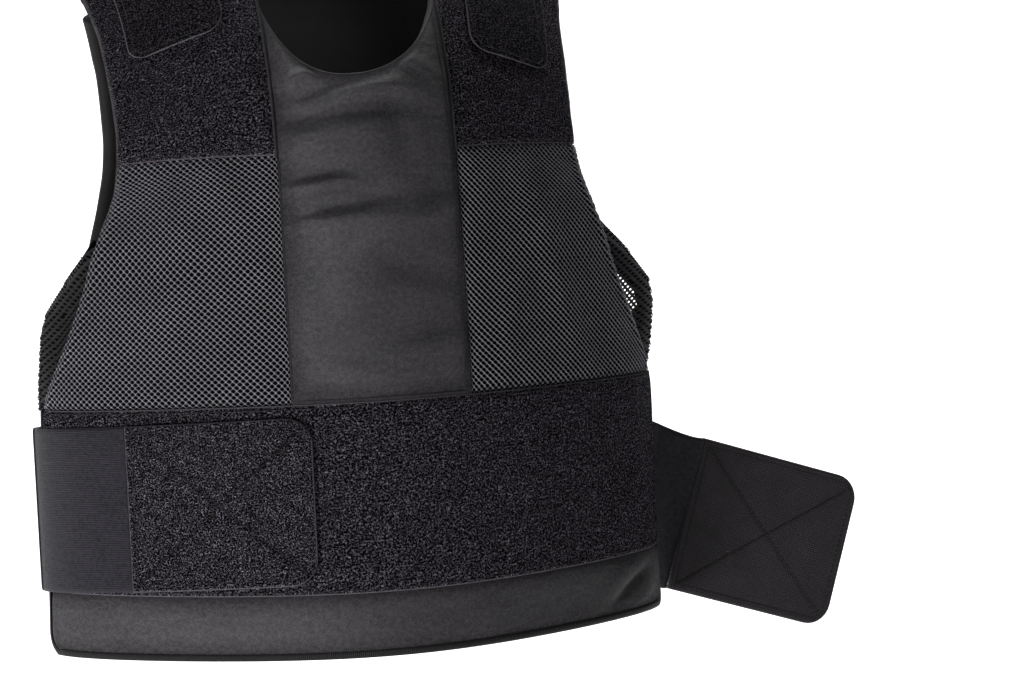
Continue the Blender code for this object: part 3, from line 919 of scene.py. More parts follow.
class Trees:
    """Geometry Nodes trees, each built once."""

    def __init__(self) -> None:
        """Starts with none."""
        self.made: dict[str, NodeTree] = {}

    def start(self, name: str, inputs: Sequence[tuple[str, str, Any]]) -> tuple[NodeTree, Any, Any]:
        """Starts a tree with its named inputs.

        Args:
            name: The tree's name.
            inputs: Name, socket type and default of each input after the geometry.

        Returns:
            The tree, its input node and its output node.
        """
        tree = bpy.data.node_groups.new(name, "GeometryNodeTree")
        tree.interface.new_socket("Geometry", in_out="INPUT", socket_type="NodeSocketGeometry")
        for label, kind, default in inputs:
            socket = tree.interface.new_socket(label, in_out="INPUT", socket_type=kind)
            if default is not None:
                socket.default_value = default
        tree.interface.new_socket("Geometry", in_out="OUTPUT", socket_type="NodeSocketGeometry")
        return tree, tree.nodes.new("NodeGroupInput"), tree.nodes.new("NodeGroupOutput")

    @staticmethod
    def add(tree: NodeTree, kind: str, settings: dict[str, Any] | None = None,
            values: dict[Any, Any] | None = None) -> Node:
        """Adds one geometry node with its settings, then its values or links.

        Args:
            tree: The tree that it goes in.
            kind: The node's type.
            settings: Properties, by name.
            values: Input values or links, by name or index.

        Returns:
            The new node.
        """
        node = tree.nodes.new(kind)
        for name, value in (settings or {}).items():
            setattr(node, name, value)
        for key, value in (values or {}).items():
            if isinstance(value, NodeSocket):
                tree.links.new(value, node.inputs[key])
            else:
                node.inputs[key].default_value = value
        return node

    def stitches(self) -> NodeTree:
        """Short rounded threads on points, turned by the points' heading and facing.

        Returns:
            The node tree.
        """
        if "stitches" in self.made:
            return self.made["stitches"]
        tree, given, result = self.start("stitches", (
            ("Stitch length", "NodeSocketFloat", 0.002), ("Thread radius", "NodeSocketFloat", 0.0003),
            ("Arch", "NodeSocketFloat", 0.0003), ("Thread", "NodeSocketMaterial", None)))
        half = self.add(tree, "ShaderNodeMath", {"operation": "MULTIPLY"}, {0: given.outputs["Stitch length"], 1: 0.5})
        back = self.add(tree, "ShaderNodeMath", {"operation": "MULTIPLY"}, {0: half.outputs[0], 1: -1.0})
        start = self.add(tree, "ShaderNodeCombineXYZ", None, {0: back.outputs[0]})
        middle = self.add(tree, "ShaderNodeCombineXYZ", None, {2: given.outputs["Arch"]})
        end = self.add(tree, "ShaderNodeCombineXYZ", None, {0: half.outputs[0]})
        bow = self.add(tree, "GeometryNodeCurveQuadraticBezier", None, {
            "Resolution": 4, "Start": start.outputs[0], "Middle": middle.outputs[0], "End": end.outputs[0]})
        ring = self.add(tree, "GeometryNodeCurvePrimitiveCircle", None, {
            "Resolution": 5, "Radius": given.outputs["Thread radius"]})
        thread = self.add(tree, "GeometryNodeCurveToMesh", None, {
            "Curve": bow.outputs[0], "Profile Curve": ring.outputs[0], "Fill Caps": True})
        heading = self.add(tree, "GeometryNodeInputNamedAttribute", {"data_type": "FLOAT_VECTOR"}, {"Name": HEADING})
        facing = self.add(tree, "GeometryNodeInputNamedAttribute", {"data_type": "FLOAT_VECTOR"}, {"Name": FACING})
        up = self.add(tree, "FunctionNodeAlignRotationToVector", {"axis": "Z"}, {"Vector": facing.outputs[0]})
        turned = self.add(tree, "FunctionNodeAlignRotationToVector", {"axis": "X", "pivot_axis": "Z"}, {
            "Rotation": up.outputs[0], "Vector": heading.outputs[0]})
        placed = self.add(tree, "GeometryNodeInstanceOnPoints", None, {
            "Points": given.outputs["Geometry"], "Instance": thread.outputs[0], "Rotation": turned.outputs[0]})
        real = self.add(tree, "GeometryNodeRealizeInstances", None, {0: placed.outputs[0]})
        dyed = self.add(tree, "GeometryNodeSetMaterial", None, {
            "Geometry": real.outputs[0], "Material": given.outputs["Thread"]})
        tree.links.new(dyed.outputs[0], result.inputs[0])
        self.made["stitches"] = tree
        return tree

    def net(self) -> NodeTree:
        """A flat net: one eyelet on each point, joined where they meet.

        Returns:
            The node tree.
        """
        if "net" in self.made:
            return self.made["net"]
        tree, given, result = self.start("net", (
            ("Eyelet", "NodeSocketObject", None), ("Join distance", "NodeSocketFloat", 0.00006),
            ("Thread", "NodeSocketMaterial", None)))
        eyelet = self.add(tree, "GeometryNodeObjectInfo", None, {"Object": given.outputs["Eyelet"]})
        placed = self.add(tree, "GeometryNodeInstanceOnPoints", None, {
            "Points": given.outputs["Geometry"], "Instance": eyelet.outputs["Geometry"]})
        real = self.add(tree, "GeometryNodeRealizeInstances", None, {0: placed.outputs[0]})
        joined = self.add(tree, "GeometryNodeMergeByDistance", None, {
            "Geometry": real.outputs[0], "Distance": given.outputs["Join distance"]})
        dyed = self.add(tree, "GeometryNodeSetMaterial", None, {
            "Geometry": joined.outputs[0], "Material": given.outputs["Thread"]})
        tree.links.new(dyed.outputs[0], result.inputs[0])
        self.made["net"] = tree
        return tree


trees = Trees()


def run_tree(tree: NodeTree, mesh: Mesh, values: dict[str, Any], name: str) -> Mesh:
    """Runs a Geometry Nodes tree on a mesh and keeps the result as a plain mesh.

    Args:
        tree: The tree.
        mesh: What it starts from.
        values: Its inputs by name.
        name: The result's name.

    Returns:
        The new mesh.
    """
    holder = bpy.data.objects.new(name + "_maker", mesh)
    bpy.context.scene.collection.objects.link(holder)
    modifier = holder.modifiers.new("maker", "NODES")
    modifier.node_group = tree
    identifiers = {item.name: item.identifier for item in tree.interface.items_tree if item.in_out == "INPUT"}
    for label, value in values.items():
        modifier[identifiers[label]] = value
    bpy.context.view_layer.update()
    graph = bpy.context.evaluated_depsgraph_get()
    made = bpy.data.meshes.new_from_object(holder.evaluated_get(graph), depsgraph=graph)
    made.name = name
    holder.modifiers.remove(modifier)
    bpy.data.objects.remove(holder)
    return made


@dataclass
class Seam:
    """Rows of stitches on one surface, gathered and made as one piece."""

    name: str
    finish: Finish = Finish.THREAD
    length: float = 2.3
    radius: float = 0.28
    arch: float = 0.25
    spots: list[Array] = field(default_factory=list)
    headings: list[Array] = field(default_factory=list)
    facings: list[Array] = field(default_factory=list)

    def sew(self, place: Place, route: Sequence[Sequence[float]], lift: float | Place, pitch: float = 3.1,
            slant: float = 0.0) -> None:
        """Adds a row of stitches.

        Args:
            place: Lays cloth points on the surface.
            route: Corners of the row, as across and along in millimetres.
            lift: Height of the row's middle above that surface, or a function that gives it at cloth points.
            pitch: Distance from stitch to stitch.
            slant: Turn of each stitch away from the row, in degrees.
        """
        route = np.asarray(route, float)
        steps = running(route)
        count = max(2, int(steps[-1] / pitch))
        where = (np.arange(count) + 0.5) * steps[-1] / count
        u, v = np.interp(where, steps, route[:, 0]), np.interp(where, steps, route[:, 1])
        du = np.interp(where + 0.3, steps, route[:, 0]) - np.interp(where - 0.3, steps, route[:, 0])
        dv = np.interp(where + 0.3, steps, route[:, 1]) - np.interp(where - 0.3, steps, route[:, 1])
        self.lay(place, u, v, du, dv, lift(u, v) if callable(lift) else lift, slant)

    def lay(self, place: Place, u: Array, v: Array, du: Array, dv: Array,
            lift: Array | float, slant: float) -> None:
        """Adds stitches at cloth points with these directions.

        Args:
            place: The surface.
            u: Across the cloth, in millimetres.
            v: Along the cloth, in millimetres.
            du: Direction across.
            dv: Direction along.
            lift: Height over the surface, in millimetres.
            slant: How far the threads lean.
        """
        turn = math.radians(slant)
        size = np.hypot(du, dv) + 1e-9
        du, dv = du / size, dv / size
        du, dv = du * math.cos(turn) - dv * math.sin(turn), du * math.sin(turn) + dv * math.cos(turn)
        lift = np.zeros_like(u) + lift
        spot = place(u, v, lift)
        heading = place(u + du * 0.4, v + dv * 0.4, lift) - place(u - du * 0.4, v - dv * 0.4, lift)
        facing = place(u, v, lift + 1.0) - spot
        self.spots.append(spot)
        self.headings.append(heading / np.linalg.norm(heading, axis=1, keepdims=True))
        self.facings.append(facing / np.linalg.norm(facing, axis=1, keepdims=True))

    def make(self) -> Object:
        """Makes the gathered stitches one piece.

        Returns:
            The piece.
        """
        mesh = dots_mesh(self.name, np.concatenate(self.spots))
        for key, parts in ((HEADING, self.headings), (FACING, self.facings)):
            held = mesh.attributes.new(key, "FLOAT_VECTOR", "POINT")
            held.data.foreach_set("vector", np.concatenate(parts).astype(np.float32).ravel())
        made = run_tree(trees.stitches(), mesh, {
            "Stitch length": self.length * MM, "Thread radius": self.radius * MM, "Arch": self.arch * 2 * MM,
            "Thread": self.finish.material()}, self.name)
        made.shade_smooth()
        return show(self.name, made, self.finish)


@dataclass
class Net:
    """Spacer mesh: eyelets in offset rows, made flat and then laid on a surface."""

    name: str
    pitch: float = 4.4
    row: float = 2.0
    hole_width: float = 2.4
    hole_height: float = 2.35
    rings: tuple[tuple[float, float], ...] = ((0.0, 0.0), (0.5, -0.16), (1.0, -0.95))
    over: float = 0.2
    under: float = 0.40
    flipped: bool = False
    # Painted light: a share of the threads' brightness at flat points.
    tone: Callable[[Array, Array], Array] | None = None

    def eyelet(self) -> Object:
        """One eyelet: rings from its six-sided outline in to its oval hole.

        Returns:
            The object.
        """
        rise = self.row * 0.34
        corners = [(0.0, self.row / 2 + rise), (-self.pitch / 2, self.row / 2 - rise),
                   (-self.pitch / 2, rise - self.row / 2), (0.0, -self.row / 2 - rise),
                   (self.pitch / 2, rise - self.row / 2), (self.pitch / 2, self.row / 2 - rise)]
        outline = []
        for here, after in zip(corners, corners[1:] + corners[:1]):
            outline += [here, ((here[0] + after[0]) / 2, (here[1] + after[1]) / 2)]
        outline = np.array(outline + outline[:1])
        turn = np.arctan2(outline[:, 1] / self.hole_height, outline[:, 0] / self.hole_width)
        oval = np.stack([np.cos(turn) * self.hole_width / 2, np.sin(turn) * self.hole_height / 2], axis=1)
        crossing = np.zeros(len(outline))
        upper, lower = ([1, 7], [5, 11]) if self.flipped else ([5, 11], [1, 7])
        crossing[upper] = self.over
        crossing[lower] = -self.under
        rings = []
        for share, height in self.rings:
            spots = outline + (oval - outline) * share
            rings.append(np.column_stack([spots, height + crossing * (1.0 - share)]) * MM)
        points = np.array(rings)[::-1][:, ::-1]
        mesh = grid_mesh(self.name + "_eyelet", points, points[..., :2], {})
        body = bmesh.new()
        body.from_mesh(mesh)
        bmesh.ops.remove_doubles(body, verts=body.verts, dist=0.00001)
        bmesh.ops.recalc_face_normals(body, faces=body.faces)
        if sum(face.normal.z for face in body.faces) < 0:
            bmesh.ops.reverse_faces(body, faces=body.faces)
        body.to_mesh(mesh)
        body.free()
        return bpy.data.objects.new(self.name + "_eyelet", mesh)

    def centres(self, inside: Callable[[Array, Array], Array], low: tuple[float, float],
                high: tuple[float, float]) -> Array:
        """Eyelet centres of the lattice that an outline holds, in millimetres.

        Args:
            inside: Whether a centre is kept.
            low: Lower corner of the lattice.
            high: Upper corner of the lattice.

        Returns:
            Across and along, one centre to a row.
        """
        rows = range(math.floor(low[1] / self.row), math.ceil(high[1] / self.row) + 1)
        columns = range(math.floor(low[0] / self.pitch) - 1, math.ceil(high[0] / self.pitch) + 2)
        grid = np.array([((i + 0.5 * (j % 2)) * self.pitch, j * self.row) for j in rows for i in columns])
        return grid[inside(grid[:, 0], grid[:, 1])]

    def weave(self, centres: Array, shape: Callable[..., tuple[Array, ...]], place: Place) -> Mesh:
        """Makes the net and lays it.

        Args:
            centres: Eyelet centres in millimetres.
            shape: Turns flat across, along and lift into those on the body.
            place: Lays cloth points on the surface.

        Returns:
            The net's mesh.
        """
        dots = dots_mesh(self.name, np.column_stack([centres, np.zeros(len(centres))]) * MM)
        eyelet = self.eyelet()
        bpy.context.scene.collection.objects.link(eyelet)
        made = run_tree(trees.net(), dots, {"Eyelet": eyelet, "Thread": Finish.NET.material()}, self.name)
        bpy.data.objects.remove(eyelet)
        flat = points_of(made).astype(float) / MM
        tone = self.tone(flat[:, 0], flat[:, 1]) if self.tone else 1.0
        # Crest shade: brighter on the eyelets' crests, darker deep in the holes, times the painted light share.
        crest = np.clip(1.0 + flat[:, 2] / 0.6, 0.0, 1.0) * tone
        lay_points(made, place(*shape(*flat.T)), flat[:, :2], {CREST_SHADE: crest})
        return made


@dataclass
class EdgeRun:
    """A tape or rim along the edge of a cloth, with a cross-section given as outward reach and lift."""

    route: Array
    step: float = 3.0

    def __post_init__(self) -> None:
        """Places stations along the route and finds the outward direction at each."""
        marks = running(self.route)
        self.length = float(marks[-1])
        self.at = np.linspace(0.0, self.length, max(3, int(self.length / self.step) + 1))
        self.spots = np.column_stack([np.interp(self.at, marks, self.route[:, i]) for i in (0, 1)])
        ahead = np.gradient(self.spots, axis=0)
        for _ in range(2):
            ahead[1:-1] = (ahead[:-2] + ahead[1:-1] * 2 + ahead[2:]) / 4
        ahead /= np.hypot(*ahead.T)[:, None]
        self.outward = np.column_stack([ahead[:, 1], -ahead[:, 0]])

    def mesh(self, name: str, section: Sequence[tuple[float, float]], place: Place,
             base: Callable[[Array, Array], Array] | None = None,
             width: Array | float = 1.0) -> Mesh:
        """Sweeps a cross-section along the edge.

        Args:
            name: The mesh's name.
            section: Outward reach and lift of each point of the cross-section.
            place: Lays cloth points on the surface.
            base: Lift of the cloth's own middle at cloth points.
            width: Share of the cross-section's size at each station.

        Returns:
            The swept mesh.
        """
        section = np.asarray(section, float)
        width = np.broadcast_to(np.asarray(width, float), self.at.shape)[None, :, None]
        reach = section[:, 0][:, None, None] * width
        flat = self.spots[None] + self.outward[None] * reach
        lift = section[:, 1][:, None] * width[..., 0]
        if base:
            lift = lift + base(flat[..., 0], flat[..., 1])
        points = place(flat[..., 0], flat[..., 1], lift)
        girth = running(section)
        uv = np.stack(np.broadcast_arrays(self.at[None, :], girth[:, None]), axis=-1)
        return grid_mesh(name, points, uv, {})


def oval(width: float, height: float, centre: float = 0.0, steps: int = 12) -> list[tuple[float, float]]:
    """Closed flat oval cross-section whose outermost point is at centre plus half the width."""
    turns = np.linspace(0.0, 2 * math.pi, steps + 1)
    return [(centre + math.cos(turn) * width / 2, math.sin(turn) * height / 2) for turn in turns]


def hem_tape(torso: Torso, word: str, edge: Callable[[Array], Array], belt_top: float, hem: float,
             section: Sequence[tuple[float, float]]) -> tuple[Object, float]:
    """Folds edge tape over a hem and up both sides to the belt.

    Args:
        torso: The surface.
        word: Which panel, "front" or "back".
        edge: Half width of that panel.
        belt_top: Where the tape starts and ends.
        hem: Where it runs across.
        section: Outward reach and lift of the tape's cross-section.

    Returns:
        The piece and its length in metres.
    """
    heights = np.linspace(belt_top, hem, 60)
    sides = np.column_stack([edge(heights), heights])
    run = EdgeRun(np.concatenate([sides * (-1.0, 1.0), sides[::-1]]), 2.5)
    if word == "back":
        run.outward = -run.outward
    mesh = run.mesh(f"{word}_hem_tape", section, torso.lay)
    if word == "back":
        mesh.flip_normals()
    return show(f"{word}_hem_tape", mesh, Finish.TAPE, [f"{word}_hem_binding"]), run.length * MM


def panel_rows(marks: Sequence[float], cell: float) -> Array:
    """Row positions that hit every mark, with cells of about one size between them."""
    rows = [np.linspace(low, high, max(2, round((high - low) / cell) + 1))[:-1] for low, high in zip(marks, marks[1:])]
    return np.concatenate(rows + [[marks[-1]]])


@dataclass
class Front:
    """The front: padded carrier, the facings sewn on it and the soft wings."""

    torso: Torso
    hem: float = 3.0
    belt_bottom: float = 40.0
    belt_top: float = 156.0
    mesh_top: float = 308.0
    neck_top: float = 420.0
    top: float = 519.0
    centre: float = 57.0
    top_inner: float = 61.0
    mesh_rise: float = 11.0
    top_slope: float = 6.0
    loop: float = 1.6
    twill: float = 1.0
    padding: float = 9.0
    layer_gap: float = 0.5
    seam_gap: float = 0.15
    wing_root: float = -6.0
    wing_dip: float = 2.5
    neck_lean: float = 7.0
    neck_half: float = 60.0
    neck_low: float = 355.0
    neck_rise: float = 104.0
    neck_round: float = 2.25
    ridge: float = 0.9
    ridge_inset: float = 7.0
    ridge_width: float = 2.2
    flange: float = 5.0
    flange_drop: float = 0.5
    overrun: float = 4.0
    pitch: float = 2.9

    def neck(self, across: Array) -> Array:
        """Height of the neck edge along the cloth.

        Args:
            across: Across the cloth, in millimetres.

        Returns:
            The height in millimetres.
        """
        shift = -self.neck_lean * (1.0 - (across / self.centre) ** 2)
        share = np.minimum(np.abs(across - shift) / self.neck_half, 1.0)
        return self.neck_low + self.neck_rise * (1.0 - (1.0 - share ** self.neck_round) ** (1.0 / self.neck_round))

    def rise(self, v: Array) -> Array:
        """Share of the outward rise of the mesh's top seam at a nominal height."""
        keys = (264.0, 280.0, 294.0, 308.0, 322.0, 338.0, 356.0)
        return np.interp(v, keys, (0, 1 / 3, 2 / 3, 1, 2 / 3, 1 / 3, 0))

    def climb(self, v: Array) -> Array:
        """Share of the way from the neck's top corner to the shoulder's end."""
        return np.clip((v - self.neck_top) / (self.top - self.neck_top), 0.0, 1.0)

    def inner(self, v: Array) -> Array:
        """Half width of the centre panel or of the neck opening at a nominal height."""
        return self.centre + (self.top_inner - self.centre) * self.climb(v)

    def beside(self, share: Array, v: Array) -> tuple[Array, Array]:
        """Distance from the centre line, and along, of a point beside the centre panel.

        Args:
            share: Place between the centre panel and the side.
            v: Along the cloth, in millimetres.

        Returns:
            Distance and along, in millimetres.
        """
        edge = front_edge(v + self.mesh_rise * self.rise(v))
        along = v + share * (self.mesh_rise * self.rise(v) - self.top_slope * self.climb(v))
        return self.inner(v) + share * (edge - self.inner(v)), along

    def middle(self, share: Array, v: Array) -> tuple[Array, Array]:
        """Across and along of a point of the centre; share runs from -1 to 1.

        Args:
            share: Place from the right side to the left.
            v: Along the cloth, in millimetres.

        Returns:
            Across and along, in millimetres.
        """
        across = self.inner(v) * share
        up = (v - self.mesh_top) / (self.neck_top - self.mesh_top)
        top = np.where(np.abs(share) < 0.9999, self.neck(np.clip(across, -56.99, 56.99)), self.neck_top)
        bent = self.mesh_top + up * (top - self.mesh_top)
        return across, np.where((v > self.mesh_top) & (v <= self.neck_top), bent, v)

    def edge_lift(self, inset: Array) -> Array:
        """Height of the facings near the outline: a ridge over the padding's edge, then a flat flange."""
        ridge = self.ridge * np.exp(-((inset - self.ridge_inset) / self.ridge_width) ** 2)
        return ridge - self.flange_drop * np.clip((self.flange - inset) / (self.flange / 2), 0.0, 1.0)

    @staticmethod
    def near_seam(rim: Array, reach: float) -> Array:
        """Share of a fold's height that is left at a distance from the nearest seam."""
        share = np.clip(rim / reach, 0.0, 1.0)
        return share * share * (3.0 - 2.0 * share)

    def rolled(self, size: Array, edge: Array, radius: float = 2.0) -> tuple[Array, Array]:
        """Turns cloth over the padded edge.

        Args:
            size: Distances from the centre line, running on past the edge.
            edge: Half width of the padding there.
            radius: Radius of the turn.

        Returns:
            New distances, and the lift at each point.
        """
        past = size - (edge - radius)
        angle = np.clip(past / radius, 0.0, math.pi / 2)
        turned = np.where(past > 0, edge - radius + radius * np.sin(angle), size)
        fall = np.where(past > 0, radius * (1 - np.cos(angle)) + np.maximum(past - radius * math.pi / 2, 0.0), 0.0)
        return turned, self.edge_lift(edge - size) * (past < 0) + (past >= 0) * self.edge_lift(radius) - fall

    def side_patch(self, side: float, low: float, high: float, cell: float = 2.0, over: float = 5.0,
                   folds: Sequence[Fold] = (), ends: bool = True, scale: float = 1.3) -> tuple[Array, ...]:
        """A facing beside the centre panel, turned over the padded edge.

        Args:
            side: 1 for the wearer's left, -1 for the right.
            low: Nominal height of its lower seam.
            high: Nominal height of its upper seam.
            cell: Size of the grid's cells.
            over: How far it runs on past the outline.
            folds: Soft folds.
            ends: Whether its two seams are turned down.
            scale: Share of the folds' height.

        Returns:
            Across, along, lift and distance from the edge.
        """
        v = np.linspace(low + self.seam_gap, high - self.seam_gap, int((high - low) / cell) + 1)[:, None]
        share = np.linspace(0.0, 1.0, int(105 / cell) + 1)[None, :]
        size, along = self.beside(share, v)
        size[:, 0] += self.seam_gap
        extra = np.linspace(0.0, over, int(over / 0.8) + 1)[None, 1:]
        edge = size[:, -1:]
        size = np.concatenate([size, edge + extra], axis=1)
        along = np.concatenate([along, np.repeat(along[:, -1:], extra.shape[1], axis=1)], axis=1)
        turned, lift = self.rolled(size, edge)
        rim = np.minimum(size - size[:, :1], np.minimum(v - v[0], v[-1] - v))
        if ends:
            lift = lift - turned_down(rim, 1.6) * 0.9
        lift = lift + bulge(folds, side * size, along, scale) * self.near_seam(rim, 10.0)
        order = slice(None) if side > 0 else slice(None, None, -1)
        return side * turned[:, order], along[:, order], lift[:, order], rim[:, order]

    def lay_cloth(self, name: str, finish: Finish, node: str, across: Array, along: Array,
                  lift: Array, rim: Array) -> Object:
        """Adds one laid cloth as a piece, its weave running on over the turned edges.

        Args:
            name: Name of the piece.
            finish: Its finish.
            node: CAD node that it stands for.
            across: Across the cloth, in millimetres.
            along: Along the cloth, in millimetres.
            lift: Height over the surface, in millimetres.
            rim: Distance from its edge, in millimetres.

        Returns:
            The piece.
        """
        across, along, lift = np.broadcast_arrays(across, along, lift)
        step, drop = np.abs(np.diff(across, axis=1)), np.abs(np.diff(lift, axis=1))
        run = np.pad(np.cumsum(np.where(drop > 0.8 * step, np.hypot(step, drop), step), axis=1), ((0, 0), (1, 0)))
        first = np.arange(len(run)), np.argmin(np.abs(across), axis=1)
        uv = np.stack([run + (across[first] - run[first])[:, None], along], axis=-1)
        mesh = grid_mesh(name, self.torso.lay(across, along, lift), uv, {RIM: rim})
        return show(name, mesh, finish, [node])

    def build_carrier(self) -> None:
        """Padded body under the facings, open at the neck."""
        rows = panel_rows((self.hem, self.belt_top, self.mesh_top, self.neck_top, self.top), 7.5)[:, None]
        side = np.linspace(0.0, 1.0, 16)[None, :]
        centre = np.linspace(-1.0, 1.0, 17)[None, :]
        size, up = self.beside(side, rows)
        across_mid, up_mid = self.middle(centre, rows)
        across = np.concatenate([-size[:, :0:-1], across_mid, size[:, 1:]], axis=1)
        along = np.concatenate([up[:, :0:-1], up_mid, up[:, 1:]], axis=1)
        sunk = folded(PAD_DENT, across, along) - self.loop - self.layer_gap
        mesh = self.torso.cloth("front_carrier_pad", across, along, sunk)

        def open_neck(corners: list[Vector]) -> bool:
            """Whether a face lies in the neck opening.

            Args:
                corners: Cloth corners of the face.

            Returns:
                True where the face is cut out.
            """
            spot = sum(corners, Vector((0, 0))) / 4
            edge = float(self.neck(np.array(np.clip(spot.x, -56.9, 56.9))))
            return abs(spot.x) < self.inner(np.array(spot.y)) - 0.5 and spot.y > min(self.neck_top, edge + 0.01)

        cut_faces(mesh, open_neck)
        show_pad("front_carrier_pad", mesh, "front_carrier", self.padding)

    def build_centre(self) -> None:
        """Twill down the middle, turned over at the neck."""
        rows = panel_rows((self.belt_top + self.seam_gap, self.mesh_top, self.neck_top), 2.2)[:, None]
        share = np.linspace(-1.0, 1.0, 57)[None, :]
        across, along = self.middle(share, rows)
        across = across * (1.0 - self.seam_gap / self.centre)
        turn = np.linspace(0.0, math.pi / 2, 5)[1:, None]
        radius = 1.8
        base = along[-1:] - radius
        up = np.concatenate([np.minimum(along, base), base + radius * np.sin(turn),
                             np.repeat(base + radius, 3, axis=0)])
        across = np.concatenate([across, np.repeat(across[-1:], 7, axis=0)])
        fall = np.concatenate([np.zeros((len(rows), 1)), radius * (1 - np.cos(turn)),
                               radius + np.array([[1.2], [2.6], [4.2]])])
        rim = np.minimum(self.centre - np.abs(across), up - up[:1])
        lift = self.twill - self.loop - fall - (1.0 - np.minimum(rim / 1.2, 1.0)) ** 2 * 0.4
        lift = lift + bulge(CENTRE_FOLDS, across, up, 2.4) * self.near_seam(np.minimum(rim, base - up), 6.0)
        # The rim also runs to the turned neck edge, so the twill's painted edge shade follows it.
        rim = np.minimum(rim, np.maximum(base + radius - up - 0.4, 0.0) * 1.3)
        piece = self.lay_cloth("front_centre_cloth", Finish.TWILL, "front_centre_facing", across, up, lift, rim)

    def build_belly(self) -> None:
        """Loop band across the belly."""
        across, along, lift, rim = self.whole_width(self.belt_bottom, self.belt_top, BELLY_FOLDS)
        piece = self.lay_cloth("front_belly_cloth", Finish.LOOP, "front_belly_loop", across, along, lift, rim)

    def build_hem(self) -> None:
        """Twill strip under the belly band."""
        across, along, lift, rim = self.whole_width(self.hem, self.belt_bottom, HEM_FOLDS)
        piece = self.lay_cloth("front_hem_cloth", Finish.TWILL, "front_hem_facing", across, along,
                               lift + self.twill - self.loop, rim)

    def whole_width(self, low: float, high: float, folds: Sequence[Fold]) -> tuple[Array, ...]:
        """A facing across the whole front: across, along, lift and distance from its seams.

        Args:
            low: Lower edge.
            high: Upper edge.
            folds: Folds of the cloth.

        Returns:
            Across, along, lift and rim, in millimetres.
        """
        v = np.linspace(low + self.seam_gap, high - self.seam_gap, int((high - low) / 2.0) + 1)[:, None]
        share = np.linspace(-1.0, 1.0, 211)[None, :]
        edge = front_edge(v)
        extra = np.linspace(0.0, self.overrun, 5)[None, 1:]
        size = np.concatenate([-(edge + extra[:, ::-1]), share * edge, edge + extra], axis=1)
        along = np.broadcast_to(v, size.shape)
        turned, lift = self.rolled(np.abs(size), np.broadcast_to(edge, size.shape))
        rim = np.minimum(v - v[0], v[-1] - v) + 0 * size
        lift = lift - turned_down(rim, 1.6) * 0.9
        lift = lift + bulge(folds, size, along, 1.5) * self.near_seam(rim, 8.0)
        lift = lift + folded(HEM_DENT, size, along) * self.near_seam(rim, 5.0)
        return np.sign(size) * turned, along, lift, rim

    def build_shoulder_loops(self) -> None:
        """Loop patches from the chest up to the shoulders."""
        for side, word in ((-1.0, "right"), (1.0, "left")):
            across, along, lift, rim = self.side_patch(side, self.mesh_top, self.top, folds=LOOP_FOLDS)
            piece = self.lay_cloth(f"front_shoulder_cloth_{word}", Finish.LOOP, f"front_shoulder_loop_{word}",
                                   across, along, lift, rim)

    def build_meshes(self) -> None:
        """Spacer mesh on the chest: a real net, drawn together along the centre seam."""
        for side, word in ((-1.0, "right"), (1.0, "left")):
            net = Net(f"front_mesh_net_{word}", under=0.34 if side < 0 else 0.5, flipped=side < 0)
            squeeze, reach = 2.5, 5.0

            def spread(x: Array) -> Array:
                """Distance from the centre line of a lattice distance."""
                return self.centre + x - squeeze * (1.0 - np.exp(-x / reach))

            def top_line(size: Array) -> Array:
                """Upper seam of the mesh at a distance from the centre line."""
                share = (size - self.centre) / (front_edge(319.0) - self.centre)
                return self.mesh_top + self.mesh_rise * np.clip(share, 0, 1)

            def inside(x: Array, y: Array) -> Array:
                """Whether an eyelet centre lies on the mesh."""
                size = spread(np.maximum(x, 0.0))
                return (x > -0.5) & (size < front_edge(y) + 4.0) & (y > self.belt_top) & (y < top_line(size))

            def shape(x: Array, y: Array, z: Array) -> tuple[Array, ...]:
                """Draws the lattice in at the seams and turns it over the padded edge.

                Args:
                    x: Across the net.
                    y: Along the net.
                    z: Height within an eyelet.

                Returns:
                    Across, along and lift, in millimetres.
                """
                size = spread(np.maximum(x, 0.0)) + self.seam_gap
                low, high = self.belt_top + self.seam_gap, top_line(size) - self.seam_gap
                along = np.clip(y, low, high)
                edge = front_edge(along)
                size = np.minimum(size, edge + 5.0)
                turned, lift = self.rolled(size, edge)
                rim = np.minimum(np.minimum(size - self.centre, along - low), high - along)
                soft = np.clip(rim / 5.0, 0.0, 1.0)
                bumps = bulge(MESH_FOLDS, side * size, along, 1.5)
                pressed = z * (0.35 + 0.65 * soft) - (1.0 - soft) ** 2 * 0.7
                return side * turned, along, lift + pressed + bumps * self.near_seam(rim, 10.0)

            centres = net.centres(inside, (0.0, self.belt_top), (185.0, self.mesh_top + self.mesh_rise))
            mesh = net.weave(centres, shape, self.torso.lay)
            if side < 0:
                mesh.flip_normals()
            piece = show(net.name, mesh, Finish.NET, [f"front_mesh_{word}"])
            across, along, lift, rim = self.side_patch(side, self.belt_top, self.mesh_top, 3.0, 5.0, MESH_FOLDS,
                                                       False, 1.5)
            name = f"front_mesh_backing_{word}"
            # Near-black sheet under the net: its real backing, darkened as painted shade in the holes.
            back = show(name, self.torso.cloth(name, across, along, lift - 1.2, {RIM: rim}), Finish.BACKING)

    def wing_lift(self, share: Array, along: Array, flare: float) -> Array:
        """Lift of the wing's middle at a share of its width."""
        rim = column_of(WING_RIM, 2)(along) * flare
        return self.wing_root + share * (rim - self.wing_root) - self.wing_dip * np.sin(math.pi * share)

    def build_wings(self) -> None:
        """Mesh wings behind the armholes, each with a thick overlocked rim."""
        rim_size = column_of(WING_RIM)
        low, high = WING_RIM[0][0] - 3.0, WING_RIM[-1][0]
        for side, word, flare in ((-1.0, "right", 0.3), (1.0, "left", 1.2)):

            def root(along: Array) -> Array:
                """Where the wing meets the padding."""
                return front_edge(along) + 0.4

            def middle(across: Array, along: Array) -> Array:
                """Lift of the wing's middle."""
                share = (np.abs(across) - root(along)) / np.maximum(rim_size(along) - root(along), 1.0)
                return self.wing_lift(np.clip(share, 0.0, 1.0), along, flare)

